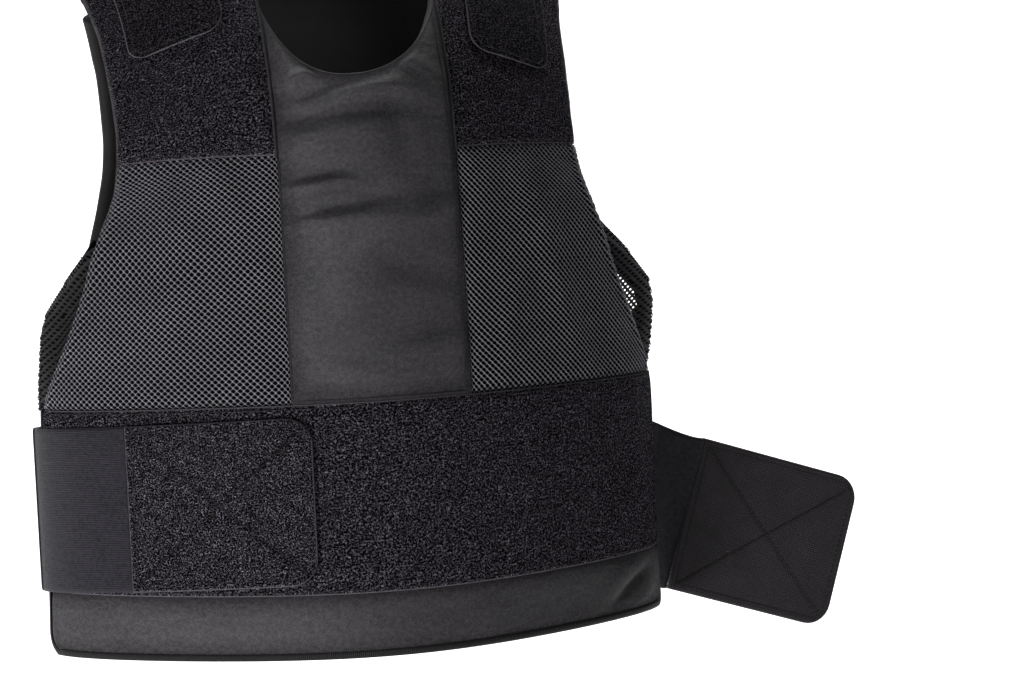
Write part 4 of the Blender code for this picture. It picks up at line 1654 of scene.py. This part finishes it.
            def wing_painted_light(x: Array, y: Array) -> Array:
                """Painted light on the threads: less towards the root, and half as much on the right wing."""
                return (0.20 + 0.36 * np.clip(1.25 - (rim_size(y) - x) / 6.0, 0.0, 1.0)) * (1.0 if side > 0 else 0.5)

            net = Net(f"armhole_net_{word}", hole_width=1.6, hole_height=1.3, tone=wing_painted_light,
                      rings=((0.0, 0.0), (0.5, -0.1), (1.0, -0.5)), under=0.2)

            def inside(x: Array, y: Array) -> Array:
                """Whether an eyelet centre lies on the wing."""
                return (x > root(y) - 2.0) & (x < rim_size(y) - 0.8) & (y > low) & (y < high - 2.0)

            def shape(x: Array, y: Array, z: Array) -> tuple[Array, ...]:
                """Lays the net between the root and the rim, and over the rim's fullness.

                Args:
                    x: Across the net.
                    y: Along the net.
                    z: Height within an eyelet.

                Returns:
                    Across, along and lift, in millimetres.
                """
                along = np.clip(y, low + 0.8, high)
                size = np.clip(x, root(along) - 2.0, np.maximum(rim_size(along) - 0.3, root(along) + 0.2))
                full = np.clip((high - along) / 24.0, 0.22, 1.0) * np.clip((along - low + 2.0) / 9.0, 0.45, 1.0)
                lean = np.hypot(1.0, (rim_size(along + 1.0) - rim_size(along - 1.0)) / 2.0)
                inset = (rim_size(along) - size) / lean
                puff = np.sqrt(np.clip(1.0 - ((inset - 4.6 * full) / (5.0 * full)) ** 2, 0.0, 1.0))
                return side * size, along, middle(size, along) + 0.6 + 1.65 * full * puff + z

            mesh = net.weave(net.centres(inside, (150.0, low), (245.0, high)), shape, self.torso.lay)
            if side < 0:
                mesh.flip_normals()
            piece = show(net.name, mesh, Finish.NET, [f"armhole_wing_{word}"])

            heights = np.linspace(high, low, 60)
            corner = [(rim_size(low) - 0.8, low - 0.2), (rim_size(low) - 3.0, low - 0.6), (front_edge(low) + 1.5, low)]
            route = [(rim_size(v), v) for v in heights] + corner
            run = EdgeRun(np.array(route) * np.array([side, 1.0]), 1.6)
            if side > 0:
                run.outward = -run.outward
            width = np.clip(run.at / 26.0, 0.22, 1.0) * np.clip((run.length - run.at) / 9.0, 0.45, 1.0)
            band = run.mesh(f"armhole_rim_{word}", oval(9.5, 3.0, -4.6), self.torso.lay, middle, width)
            if side > 0:
                band.flip_normals()
            rim = show(f"armhole_rim_{word}", band, Finish.BACKING)
            seam = Seam(f"armhole_rim_stitches_{word}", Finish.PALE_THREAD, length=2.6, radius=0.42, arch=0.5)
            spots = run.spots - run.outward * (0.9 * width)[:, None]
            seam.sew(self.torso.lay, spots[8:-3], lambda u, v: middle(u, v) + 1.1, 2.1, 68.0)
            threads = seam.make()
            v = np.linspace(low + 0.4, high, 40)[:, None]
            window = np.interp(v, (192.0, 203.0, 220.0, 231.0), (0.0, 18.0, 19.0, 0.0)) * (side > 0)
            start = np.minimum(root(v) - 3.5 + window, rim_size(v) - 2.5)
            size = start + (rim_size(v) - 1.5 - start) * np.linspace(0.0, 1.0, 9)[None, :]
            size, v = (size, v + 0 * size) if side > 0 else (size[:, ::-1], v + 0 * size)
            # Near-black sheet under the wing except at the window: partly the real layer below, partly painted shade in
            # the holes.
            doubled = self.torso.cloth(f"armhole_backing_{word}", side * size, v, middle(size, v))
            back = show(f"armhole_backing_{word}", doubled, Finish.BACKING)

    def surface_lift(self, across: Array, along: Array) -> Array:
        """Lift of the facings near the outline."""
        return self.edge_lift(front_edge(along) - np.abs(across))

    def build_stitches(self) -> None:
        """Seams of the facings: rows beside the centre panel, round the neck, along the belt's edges and along the
        armholes.
        """
        twill = self.twill - self.loop
        place = self.torso.lay
        dark = Seam("front_facing_stitches", length=2.0, radius=0.32, arch=0.25)
        fine = Seam("front_neck_stitches", length=1.5, radius=0.42, arch=0.25)
        heights = np.linspace(self.belt_top + 3.0, self.neck_top - 14.0, 60)

        def centre_lift(u: Array, v: Array) -> Array:
            """Lift of the twill's surface near its seams."""
            rim = np.minimum(self.centre - np.abs(u), v - self.belt_top)
            return twill + 0.05 + bulge(CENTRE_FOLDS, u, v, 2.4) * self.near_seam(rim, 6.0)

        for side, insets in ((-1.0, (1.1,)), (1.0, (1.1, 5.0))):
            for inset in insets:
                dark.sew(place, [(side * (self.centre - inset), v) for v in heights], centre_lift, self.pitch)
        across = np.linspace(-self.centre + 3.0, self.centre - 3.0, 80)
        dark.sew(place, [(x, self.belt_top + 2.1) for x in across], centre_lift, self.pitch)
        fine.sew(place, [(x, self.neck(np.array(x)) - 0.35) for x in np.linspace(-53.0, 53.0, 140)], twill - 0.7, 1.8)
        sides = np.linspace(0.03, 0.95, 40)
        for side in (-1.0, 1.0):
            size, along = self.beside(sides, np.full(40, self.mesh_top))
            for inset, lift in ((2.8, 0.02), (-2.2, -0.35)):
                dark.sew(place, np.column_stack([side * size, along + inset]), lift, self.pitch)
            size = np.linspace(self.centre + 3.0, 226.0, 60)
            dark.sew(place, [(side * x, self.belt_top + 2.6) for x in size], -0.35, self.pitch)
            up = np.linspace(self.mesh_top + 3.0, self.top - 4.0, 80)
            dark.sew(place, [(side * (self.inner(v) + 3.2), v) for v in up], 0.02, self.pitch)
        for height in (self.belt_top - 2.6, self.belt_bottom + 2.6):
            dark.sew(place, [(x, height) for x in np.linspace(-224.0, 224.0, 200)],
                     lambda u, v: 0.05 + bulge(BELLY_FOLDS, u, v, 1.5) * self.near_seam(2.6, 8.0), self.pitch)
        dark.make()
        fine.make()
        edge = Seam("front_armhole_stitches", Finish.PALE_THREAD, length=3.6, radius=0.3, arch=0.45)
        for side in (-1.0, 1.0):
            up = np.linspace(266.0, self.top - 2.0, 160)
            route = np.column_stack([side * (front_edge(up) - 2.6), up])
            edge.sew(place, route, lambda u, v: self.surface_lift(u, v) + 0.15, 1.7, -70.0 * side)
        edge.make()

    def build_seam_ridges(self) -> None:
        """Corded ridges where the shoulder patches meet the twill."""
        meshes = []
        for side in (-1.0, 1.0):
            up = np.linspace(self.mesh_top - 2.0, self.neck_top + 8.0, 40)
            run = EdgeRun(np.column_stack([side * (self.inner(up) - 0.2), up]), 2.5)
            meshes.append(run.mesh("ridge", oval(1.7, 1.3, 0.0, 10), self.torso.lay, lambda u, v: -0.15 + 0 * u))
        # Without rim values the ridges take the twill's full painted edge shade.
        show("front_seam_ridges", joined("front_seam_ridges", meshes), Finish.TWILL)

    def build_binding(self) -> None:
        """Edge tape from the belt down and along the hem."""
        section = [(-2.2, 0.25), (-1.2, 0.55), (0.6, 0.35), (1.9, -0.5), (2.3, -2.2), (2.3, -6.0), (1.6, -7.6)]
        piece, length = hem_tape(self.torso, "front", front_edge, self.belt_top, self.hem, section)

    def build(self) -> None:
        """Builds every piece of the front."""
        self.build_carrier()
        self.build_centre()
        self.build_seam_ridges()
        self.build_belly()
        self.build_hem()
        self.build_shoulder_loops()
        self.build_meshes()
        self.build_wings()
        self.build_binding()
        self.build_stitches()


CENTRE_FOLDS = fold_table(
    # across, along, turn, length, width, height
    (-37, 357, 14, 16, 4.5, 1.3), (-26, 346, 10, 30, 5, -1.6), (-47, 331, 5, 12, 4.5, -1.4),
    (-2, 346, 4, 40, 6.5, 1.3), (2, 332, 8, 44, 7, -0.9), (34, 362, -30, 20, 6, 1.1),
    (38, 340, -10, 24, 7, 0.7), (-24, 318, 12, 38, 10, 1.4), (20, 318, 100, 24, 8, -0.6),
    (-38, 297, 5, 22, 5, -1.6), (-24, 277, 7, 32, 5, -1.5), (42, 277, 35, 14, 6, -1.0),
    (-35, 287, 4, 22, 4.5, 1.3), (-30, 265, 7, 32, 5.5, 1.2), (18, 266, 12, 45, 9, 1.4),
    (-40, 250, 100, 40, 8, -0.9), (-12, 240, 35, 50, 11, 0.9), (34, 232, -18, 36, 8, -1.0),
    (-22, 212, 22, 40, 10, 1.1), (8, 196, 16, 48, 8, -0.9), (30, 186, 8, 36, 9, 0.9),
    (-44, 168, 4, 15, 4.5, -1.0), (33, 165, 2, 22, 5, -0.9), (-8, 172, -6, 30, 7, 0.7),
)
HEM_FOLDS = fold_table(
    (180, 31, 22, 20, 5, 1.0), (199, 12, 24, 18, 5, 1.0), (-120, 20, 90, 14, 12, 0.6),
    (60, 18, 80, 14, 14, 0.5), (130, 25, 100, 14, 9, -0.7), (-60, 20, 0, 60, 6, 0.5),
    (20, 28, 2, 50, 5, -0.5), (170, 20, 20, 30, 7, 0.7), (-175, 24, 120, 20, 8, -0.8),
)
HEM_DENT = fold_table((190, 22, 22, 22, 3.2, -4.0))
PAD_DENT = fold_table((190, 22, 22, 30, 9.5, -4.8))
MESH_FOLDS = fold_table(
    (-125, 240, 70, 60, 16, 1.6), (-92, 205, 30, 45, 12, -1.2), (-150, 190, 40, 40, 12, -1.0),
    (128, 235, 108, 60, 16, 1.6), (95, 275, 40, 45, 12, -1.1), (160, 190, 120, 40, 12, -1.0),
    (-85, 280, 110, 30, 10, 0.9), (88, 200, 70, 35, 11, 0.9),
)
LOOP_FOLDS = fold_table(
    (-100, 345, 20, 50, 12, 0.7), (105, 350, 160, 50, 12, 0.7), (-120, 380, 0, 45, 8, -0.8),
    (118, 385, 0, 45, 8, -0.8),
)
BELLY_FOLDS = fold_table(
    (70, 95, 80, 45, 14, -0.7), (120, 110, 60, 50, 12, 0.8), (165, 80, 50, 60, 10, -0.9),
    (30, 60, 10, 50, 10, 0.6), (200, 120, 100, 30, 9, 0.8), (-10, 145, 0, 50, 6, 0.5),
    (-180, 90, 90, 40, 12, 0.5),
)


@dataclass
class Back:
    """The plain padded back with its edge tape."""

    torso: Torso
    top: float = 556.0
    neck_side: float = 564.0
    hem: float = 1019.0
    belt_top: float = 866.0
    half_neck: float = 61.0
    neck_drop: float = 22.0
    top_slope: float = 6.0
    padding: float = 9.0

    def fade(self, v: Array) -> Array:
        """Share of the top edge's shape that is left at a distance along."""
        rows = (564.0, 574.0, 587.0, 603.0, 622.0, 643.0, 666.0, 692.0)
        return np.interp(v, rows, 1.0 - np.arange(8) / 7.0)

    def build_panel(self) -> None:
        """Padded back with a shallow neck scoop."""
        rows = panel_rows((self.top, self.neck_side, self.belt_top, self.hem), 7.5)[:, None]
        side = np.linspace(0.0, 1.0, 16)[None, 1:]
        centre = np.linspace(-1.0, 1.0, 17)[None, :]
        size = self.half_neck + side * (back_edge(rows) - self.half_neck)
        up = rows + self.top_slope * side * self.fade(rows)
        up_mid = rows + self.neck_drop * (1.0 - np.abs(centre) ** 3) * self.fade(rows)
        across = np.concatenate([-size[:, ::-1], np.repeat(centre * self.half_neck, len(rows), axis=0), size], axis=1)
        along = np.concatenate([up[:, ::-1], up_mid, up], axis=1)
        rim = np.minimum(np.minimum(size[:, -1:] - np.abs(across), self.hem - along), along - self.top - self.neck_drop)
        dents = ripple(across, along, 9, 46.0, 0.5) * np.clip(rim / 24.0, 0.0, 1.0)
        mesh = self.torso.cloth("back_panel_pad", across, along, np.minimum(dents * 1.6 - 0.4 * (rim > 24), 0.1))

        def open_neck(corners: list[Vector]) -> bool:
            """Whether a face lies in the neck scoop."""
            low = min(spot.y - self.neck_drop * (1.0 - min(abs(spot.x) / self.half_neck, 1.0) ** 3) for spot in corners)
            return max(abs(spot.x) for spot in corners) <= self.half_neck + 0.01 and low < self.neck_side - 1.0

        cut_faces(mesh, open_neck)
        show_pad("back_panel_pad", mesh, "back_panel", self.padding)

    def build_binding(self) -> None:
        """Edge tape from the belt down and along the back's hem."""
        section = [(-2.2, 0.7), (-1.0, 1.0), (0.8, 0.8), (2.0, -0.4), (2.4, -2.4), (2.4, -6.0), (1.6, -7.8)]
        piece, length = hem_tape(self.torso, "back", back_edge, self.belt_top, self.hem, section)

    def build(self) -> None:
        """Builds the back."""
        self.build_panel()
        self.build_binding()


def rounded_half(distance: Array, half: float, corner: float) -> Array:
    """Half width of a band at a distance from its end, with two rounded corners."""
    cut = np.sqrt(np.clip(corner ** 2 - (corner - np.minimum(distance, corner)) ** 2, 0.0, None))
    return np.where(distance >= corner, half, half - corner + cut)


def stations(length: float, corner: float, cell: float) -> Array:
    """Places along a band from its rounded end, close together on the corners."""
    bend = corner * (1.0 - np.cos(np.linspace(0.0, math.pi / 2, 8)[:-1]))
    return np.concatenate([bend, np.linspace(corner, length, int((length - corner) / cell) + 1)])


@dataclass
class ShoulderStraps:
    """Bands from the back over the shoulders onto the front's loop patches."""

    torso: Torso
    half: float = 32.0
    corner: float = 14.0
    back_end: float = 640.0
    lap: float = 60.0
    thickness: float = 2.6
    gap: float = 1.1
    inset: float = 4.0
    runs: tuple[tuple[str, float, float, float], ...] = (
        ("right", 404.0, -110.0, -111.0), ("left", 378.0, 106.5, 111.0))

    def build(self) -> None:
        """Builds both straps with their border stitches."""
        for word, front_end, end_centre, centre in self.runs:
            length = self.back_end - front_end
            along = stations(length, self.corner, 2.4)[:, None]
            share = np.linspace(-1.0, 1.0, 31)[None, :]
            half = rounded_half(along, self.half, self.corner)
            middle = end_centre + (centre - end_centre) * np.minimum(along / self.lap, 1.0)
            across = middle + half * share
            up = front_end + along + 0 * across
            rim = np.minimum(np.minimum(half - np.abs(across - middle), along), length - along)
            lift = self.gap + self.thickness - turned_down(rim, 2.2) * 0.9
            name = f"shoulder_strap_band_{word}"
            mesh = self.torso.cloth(name, across, up, lift, {RIM: rim})
            piece = show(name, mesh, Finish.STRAP, [f"shoulder_strap_{word}"])
            give_wall(piece, self.thickness - 0.9)
            seam = Seam(f"shoulder_strap_stitches_{word}", length=2.4, radius=0.25)
            wide, low, high = self.half - self.inset, front_end + self.inset, self.back_end - self.inset
            route = [(centre - wide, high), (end_centre - wide, front_end + 40), (end_centre - wide, low + 6),
                     (end_centre - wide + 6, low), (end_centre + wide - 6, low), (end_centre + wide, low + 6),
                     (end_centre + wide, front_end + 40), (centre + wide, high), (centre - wide, high)]
            seam.sew(self.torso.lay, route, self.gap + self.thickness)
            seam.make()


@dataclass
class Waist:
    """Level line round the middle of the belt, on the wearer's right."""

    torso: Torso
    middle: float = 98.0

    def __post_init__(self) -> None:
        """Measures both quarters of the line."""
        self.front = self.torso.profile(np.array([self.middle]))[0]
        self.back = self.torso.profile(np.array([self.torso.end - self.middle]))[0]
        self.angles = np.linspace(0.0, math.pi / 2, 91)
        self.arcs = []
        for _, _, half_width, depth in (self.front, self.back):
            reach, fall = self.torso.sweep(self.angles, half_width, depth)
            self.arcs.append(running(np.column_stack([reach, fall])))
        self.quarter, self.half = self.arcs[0][-1], self.arcs[0][-1] + self.arcs[1][-1]

    def point(self, distance: Array, height: Array, lift: Array) -> Array:
        """Points at distances round the waist from the front centre, in millimetres from the hem.

        Args:
            distance: Round the waist from the front centre.
            height: Height over the hem.
            lift: Height over the surface, in millimetres.

        Returns:
            The points.
        """
        distance, height, lift = np.broadcast_arrays(np.asarray(distance, float), height, lift)
        spots = []
        for shape, arc, direction, along in ((self.front, self.arcs[0], 1.0, distance),
                                             (self.back, self.arcs[1], -1.0, self.half - distance)):
            angle = np.interp(along, arc, self.angles)
            y, _, half_width, depth = shape
            reach, fall = self.torso.sweep(angle, half_width, depth)
            after = self.torso.sweep(angle + 0.01, half_width, depth)
            before = self.torso.sweep(angle - 0.01, half_width, depth)
            tangent = np.array([after[0] - before[0], after[1] - before[1]])
            normal = np.array([tangent[1], -tangent[0]]) / np.hypot(*tangent)
            shift = self.torso.profile(height)[..., 0] - y if direction > 0 else 0.0
            place = y + shift * np.cos(angle) + direction * (fall + normal[1] * lift)
            spots.append(np.stack([-(reach + normal[0] * lift), place, height], axis=-1))
        return np.where((distance <= self.quarter)[..., None], spots[0], spots[1])

    def closed(self, distance: Array, offset: Array, lift: Array) -> Array:
        """Lays a point of the fastened strap: distance round the waist and height over its middle."""
        centre = self.middle - 0.016 * (np.asarray(distance, float) - 45.0)
        return (self.point(distance, centre + offset, lift) - REST) * MM


@dataclass
class OpenPad:
    """The flat hanging end of the open waist strap."""

    start: tuple[float, float, float] = (221.7, 6.2, 60.9)
    yaw: float = math.radians(7.6)
    droop: float = math.radians(18.2)

    def __post_init__(self) -> None:
        """Works out the pad's directions."""
        self.heading = np.array([math.cos(self.yaw), math.sin(self.yaw), 0.0])
        level = np.array([0.0, 0.0, 1.0])
        self.run = self.heading * math.cos(self.droop) - level * math.sin(self.droop)
        self.up = self.heading * math.sin(self.droop) + level * math.cos(self.droop)
        self.forward = np.cross(self.run, self.up)

    def lay(self, distance: Array, offset: Array, lift: Array) -> Array:
        """Lays a point by its distance from the seam, its height over the middle and its lift to the front.

        Args:
            distance: Distance from the seam.
            offset: Height over the middle.
            lift: Height over the surface, in millimetres.

        Returns:
            The points.
        """
        distance, offset, lift = np.broadcast_arrays(np.asarray(distance, float), offset, lift)
        spot = (np.array(self.start) + distance[..., None] * self.run + offset[..., None] * self.up
                + lift[..., None] * self.forward)
        return (spot - REST) * MM


@dataclass
class WaistStraps:
    """Both waist straps: elastic bands with pads of hook and loop."""

    torso: Torso
    length: float = 118.0
    height: float = 101.6
    corner: float = 16.0
    pad_end: float = 45.0
    hook: float = 1.4
    loop: float = 1.6
    elastic: float = 1.8
    seam_gap: float = 0.3
    strap_gap: float = 0.7
    elastic_gap: float = 1.1
    back_end: float = 145.0
    sewn_in: float = 4.5
    root_length: float = 60.0
    root_height: float = 90.0

    def pad_grid(self) -> tuple[Array, ...]:
        """Grid of a pad: distance from its free end, height over the middle and distance from its edge.

        Returns:
            Distance, height and rim, in millimetres.
        """
        distance = stations(self.length, self.corner, 1.3)[None, ::-1]
        half = rounded_half(distance, self.height / 2, self.corner)
        offset = np.linspace(-1.0, 1.0, 77)[:, None] * half
        rim = np.minimum(np.minimum(half - np.abs(offset), distance), self.length - distance)
        return distance + 0 * offset, offset, rim

    def pressed(self, distance: Array, offset: Array) -> Array:
        """How far the border and cross stitches press a pad down, from 0 to 1; the pile and hook colours darken by it
        as painted shade in the grooves.

        Args:
            distance: Distance from the free end.
            offset: Height over the middle.

        Returns:
            The pressed share.
        """
        high, far = self.height / 2 - self.sewn_in, self.length - self.sewn_in
        lines = []
        for end in (-1.0, 1.0):
            start, finish = np.array([far, end * high]), np.array([7.0, -end * (high - 3.0)])
            ahead = (finish - start) / np.hypot(*(finish - start))
            lines.append(np.abs((distance - start[0]) * ahead[1] - (offset - start[1]) * ahead[0]))
        border = np.minimum.reduce([np.abs(distance - self.sewn_in), np.abs(distance - far),
                                    np.abs(np.abs(offset) - high)])
        inside = (distance > 3.0) & (distance < far + 1.0) & (np.abs(offset) < high + 1.0)
        return np.maximum(np.exp(-(np.minimum(*lines) / 0.75) ** 2), np.exp(-(border / 0.75) ** 2) * 0.45) * inside

    def lay_band(self, name: str, finish: Finish, node: str, place: Place, grid: tuple[Array, ...],
                 lift: float, thickness: float, soft: float = 0.5, sewn: float = 0.0) -> Object:
        """Adds a pad or band with soft edges and its thickness.

        Args:
            name: Name of the piece.
            finish: Its finish.
            node: CAD node that it stands for.
            place: The surface.
            grid: Distance, height and rim.
            lift: Lift of its middle.
            thickness: Thickness in millimetres.
            soft: How far its edge rounds down.
            sewn: How deep its stitches press.

        Returns:
            The piece.
        """
        u, v, rim = grid
        raised = lift - turned_down(rim, 1.5) * soft
        pressed = self.pressed(u, v) * (sewn > 0)
        mesh = grid_mesh(name, place(u, v, raised - pressed * sewn), np.stack([u, v], axis=-1),
                         {RIM: rim, PRESSED_AND_SHADED: pressed})
        piece = show(name, mesh, finish, [node])
        give_wall(piece, thickness)
        return piece

    def pad_stitches(self, name: str, place: Place, lift: float) -> None:
        """Border and cross stitches of a pad, in distances from its free end.

        Args:
            name: Name of the piece.
            place: The surface.
            lift: Height of the threads.
        """
        seam = Seam(name, length=2.3, radius=0.26)
        high, far = self.height / 2 - self.sewn_in, self.length - self.sewn_in
        low = -high
        border = [(far, low), (10, low), (5, low + 5), (self.sewn_in, high - 5), (10, high), (far, high), (far, low)]
        rows = [border, [(far, low), (7, high - 4)], [(far, high), (7, low + 4)]]
        for row in rows:
            seam.sew(place, row, lift, pitch=3.5)
        seam.make()

    def build_closed(self) -> None:
        """Wearer's right: fastened over the belly loop."""
        waist = Waist(self.torso)
        seam = self.pad_end + self.length

        def place(distance: Array, offset: Array, lift: Array) -> Array:
            """Lays a pad point by its distance from the free end."""
            return waist.closed(self.pad_end + np.asarray(distance, float), offset, lift)

        grid = self.pad_grid()
        top = self.strap_gap + self.hook + self.seam_gap + self.loop
        hook = self.lay_band("waist_hook_pad_right", Finish.HOOK, "waist_hook_right", place, grid,
                             self.strap_gap + self.hook, self.hook)
        loop = self.lay_band("waist_loop_pad_right", Finish.PAD, "waist_loop_right", place, grid,
                             top, self.loop - 0.5, 0.8, 0.5)
        self.pad_stitches("waist_pad_stitches_right", place, top)
        end = waist.half - self.back_end
        along = np.linspace(end, seam + self.seam_gap, 150)[None, :]
        share = np.linspace(-1.0, 1.0, 45)[:, None]
        u, v = along + 0 * share, share * self.height / 2 + 0 * along
        band_rim = self.height / 2 - np.abs(v)
        elastic = self.lay_band("waist_elastic_band_right", Finish.ELASTIC, "waist_elastic_right", waist.closed,
                                (u, v, band_rim), self.elastic_gap + self.elastic, self.elastic)

    def build_open(self) -> None:
        """Wearer's left: peeled off, with its hook face to the front."""
        pad = OpenPad()
        total = self.hook + self.seam_gap + self.loop

        def place(distance: Array, offset: Array, lift: Array) -> Array:
            """Lays a pad point by its distance from the free end."""
            return pad.lay(self.length - np.asarray(distance, float), offset, lift)

        grid = self.pad_grid()
        hook = self.lay_band("waist_hook_pad_left", Finish.HOOK, "waist_hook_left", place, grid, total / 2,
                             self.hook - 0.35, 0.4, 0.35)
        loop = self.lay_band("waist_loop_pad_left", Finish.PAD, "waist_loop_left", place, grid,
                             total / 2 - self.hook - self.seam_gap, self.loop, 0.1)
        self.pad_stitches("waist_pad_stitches_left", place, total / 2)
        self.build_open_elastic(pad)

    def build_open_elastic(self, pad: OpenPad) -> None:
        """Band from the back round to the open pad.

        Args:
            pad: The pad that it meets.
        """
        waist = Waist(self.torso)
        sewn = np.linspace(0.0, self.root_length, 16)
        spots = waist.point(waist.half - self.back_end - sewn, self.root_height,
                            self.elastic_gap + self.elastic / 2)
        turn = math.pi + (math.pi / 2 + pad.yaw) * np.linspace(0.0, 1.0, 21)[1:]
        bend_x, radius = -spots[-1, 0], 9.0
        bend = np.column_stack([bend_x + radius * (1 + np.cos(turn)), 14.0 + radius * np.sin(turn)])
        seam = np.array(pad.start[:2]) - pad.heading[:2] * 0.5
        out = bend[-1] + (seam - bend[-1]) * np.linspace(0.0, 1.0, 12)[1:, None]
        route = np.concatenate([np.column_stack([-spots[:, 0], spots[:, 1]]), bend, out])
        steps = running(route)
        share = np.clip((steps - self.root_length) / (steps[-1] - self.root_length), 0.0, 1.0)
        droop = pad.droop * (1.0 - (1.0 - share) ** 2)
        centre = pad.start[2] + (self.root_height - pad.start[2]) * (1.0 - share) ** 1.5
        ahead = np.gradient(route, axis=0)
        ahead /= np.hypot(*ahead.T)[:, None]
        inner = np.column_stack([ahead[:, 1], -ahead[:, 0]])
        up = np.linspace(-self.height / 2, self.height / 2, 45)[:, None]
        plan = route[None] + ahead[None] * (np.sin(droop) * up)[..., None] + inner[None] * self.elastic / 2
        points = np.concatenate([plan, (centre + np.cos(droop) * up)[..., None]], axis=-1)
        uv = np.stack(np.broadcast_arrays(steps[None, :], up), axis=-1)
        rim = self.height / 2 - np.abs(up) + 0 * steps
        mesh = grid_mesh("waist_elastic_band_left", (points - REST) * MM, uv, {RIM: rim})
        piece = show("waist_elastic_band_left", mesh, Finish.ELASTIC, ["waist_elastic_left"])
        give_wall(piece, self.elastic)

    def build(self) -> None:
        """Builds both straps."""
        self.build_closed()
        self.build_open()


@dataclass(frozen=True)
class Lamp:
    """A soft studio light."""

    name: str
    place: tuple[float, float, float]
    size: float
    power: float


@dataclass
class Studio:
    """Pale seamless sweep that glows as painted light, soft lights and the camera."""

    lamps: tuple[Lamp, ...] = (
        Lamp("key", (-1.35, -1.05, -0.85), 0.55, 30.0),
        Lamp("fill", (1.2, -1.9, -0.2), 1.4, 3.0),
        Lamp("wash", (0.4, 0.9, 2.2), 1.6, 60.0),
    )
    aim: tuple[float, float, float] = (95.1, -65.0, -272.5)
    azimuth: float = math.radians(-13.32)
    elevation: float = math.radians(2.48)
    roll: float = math.radians(-2.98)
    distance: float = 2007.0
    focal: float = 3206.0

    def build_sweep(self) -> None:
        """Floor that curves up into the backdrop, glowing as painted light."""
        floor, back, radius, half = -1.25, 4.0, 1.2, 6.0
        turns = np.linspace(0.0, math.pi / 2, 24)
        line = [(-6.0, floor), (-1.0, floor)] + [
            (back - radius + radius * math.sin(t), floor + radius * (1 - math.cos(t)))
            for t in turns] + [(back, 6.0)]
        points = np.array([[(x, y, z) for x in (-half, half)] for y, z in line])
        mesh = grid_mesh("sweep", points, points[..., :2], {})
        dye = Dye("pale_sweep", specular=0.1)
        where = dye.node("ShaderNodeTexCoord").outputs["Object"]
        tone = dye.noise(where, 0.6, 2.0)
        parts = dye.node("ShaderNodeSeparateXYZ", None, {0: where})
        # Painted light: the sweep glows, faint over the front floor and full behind, which whitens the backdrop and
        # lights the vest.
        behind = Number(dye, parts.outputs[1]).between(-0.4, 0.5)
        glow = dye.blend(behind, (0.12, 0.12, 0.12, 1.0), (1.0, 1.0, 1.0, 1.0))
        dye.tree.links.new(glow, dye.shader.inputs["Emission Color"])
        dye.shader.inputs["Emission Strength"].default_value = 0.95
        mesh.materials.append(dye.finish(dye.blend(tone, (0.86, 0.86, 0.86, 1.0), (0.9, 0.9, 0.9, 1.0)), 0.9))
        sweep = bpy.data.objects.new("sweep", mesh)
        bpy.context.scene.collection.objects.link(sweep)

    def build_lights(self) -> None:
        """Area lights and an even surround."""
        target = Vector((0.0, 0.0, -0.25))
        for lamp in self.lamps:
            data = bpy.data.lights.new(lamp.name, "AREA")
            data.shape = "DISK"
            data.size = lamp.size
            data.energy = lamp.power
            light = bpy.data.objects.new(lamp.name, data)
            light.location = lamp.place
            light.rotation_euler = (Vector(lamp.place) - target).to_track_quat("Z", "Y").to_euler()
            bpy.context.scene.collection.objects.link(light)
        world = bpy.data.worlds.new("surround")
        world.use_nodes = True
        world.node_tree.nodes["Background"].inputs[0].default_value = (1.0, 1.0, 1.0, 1.0)
        world.node_tree.nodes["Background"].inputs[1].default_value = 0.12
        bpy.context.scene.world = world

    def build_camera(self) -> None:
        """Camera at the photograph's place."""
        az, el, roll = self.azimuth, self.elevation, self.roll
        back = Vector((math.sin(az) * math.cos(el), -math.cos(az) * math.cos(el), math.sin(el)))
        right = Vector((math.cos(az), math.sin(az), 0.0))
        up = back.cross(right)
        turned = right * math.cos(roll) + up * math.sin(roll)
        raised = up * math.cos(roll) - right * math.sin(roll)
        data = bpy.data.cameras.new("camera")
        data.sensor_width = 36.0
        data.lens = self.focal * 36.0 / 1024.0
        data.clip_end = 50.0
        camera = bpy.data.objects.new("camera", data)
        camera.matrix_world = Matrix((turned, raised, back)).transposed().to_4x4()
        camera.location = (Vector(self.aim) + back * self.distance) * MM
        bpy.context.scene.collection.objects.link(camera)
        bpy.context.scene.camera = camera

    def build(self) -> None:
        """Builds the studio, shown as the camera sees it."""
        bpy.context.scene.view_settings.view_transform = "Standard"
        self.build_sweep()
        self.build_lights()
        self.build_camera()


def main() -> None:
    """Builds the vest's looks in order."""
    logging.basicConfig(level=logging.INFO, format="%(message)s")
    torso = Torso()
    Front(torso).build()
    Back(torso).build()
    ShoulderStraps(torso).build()
    WaistStraps(torso).build()
    Studio().build()


if __name__ == "__main__":
    main()
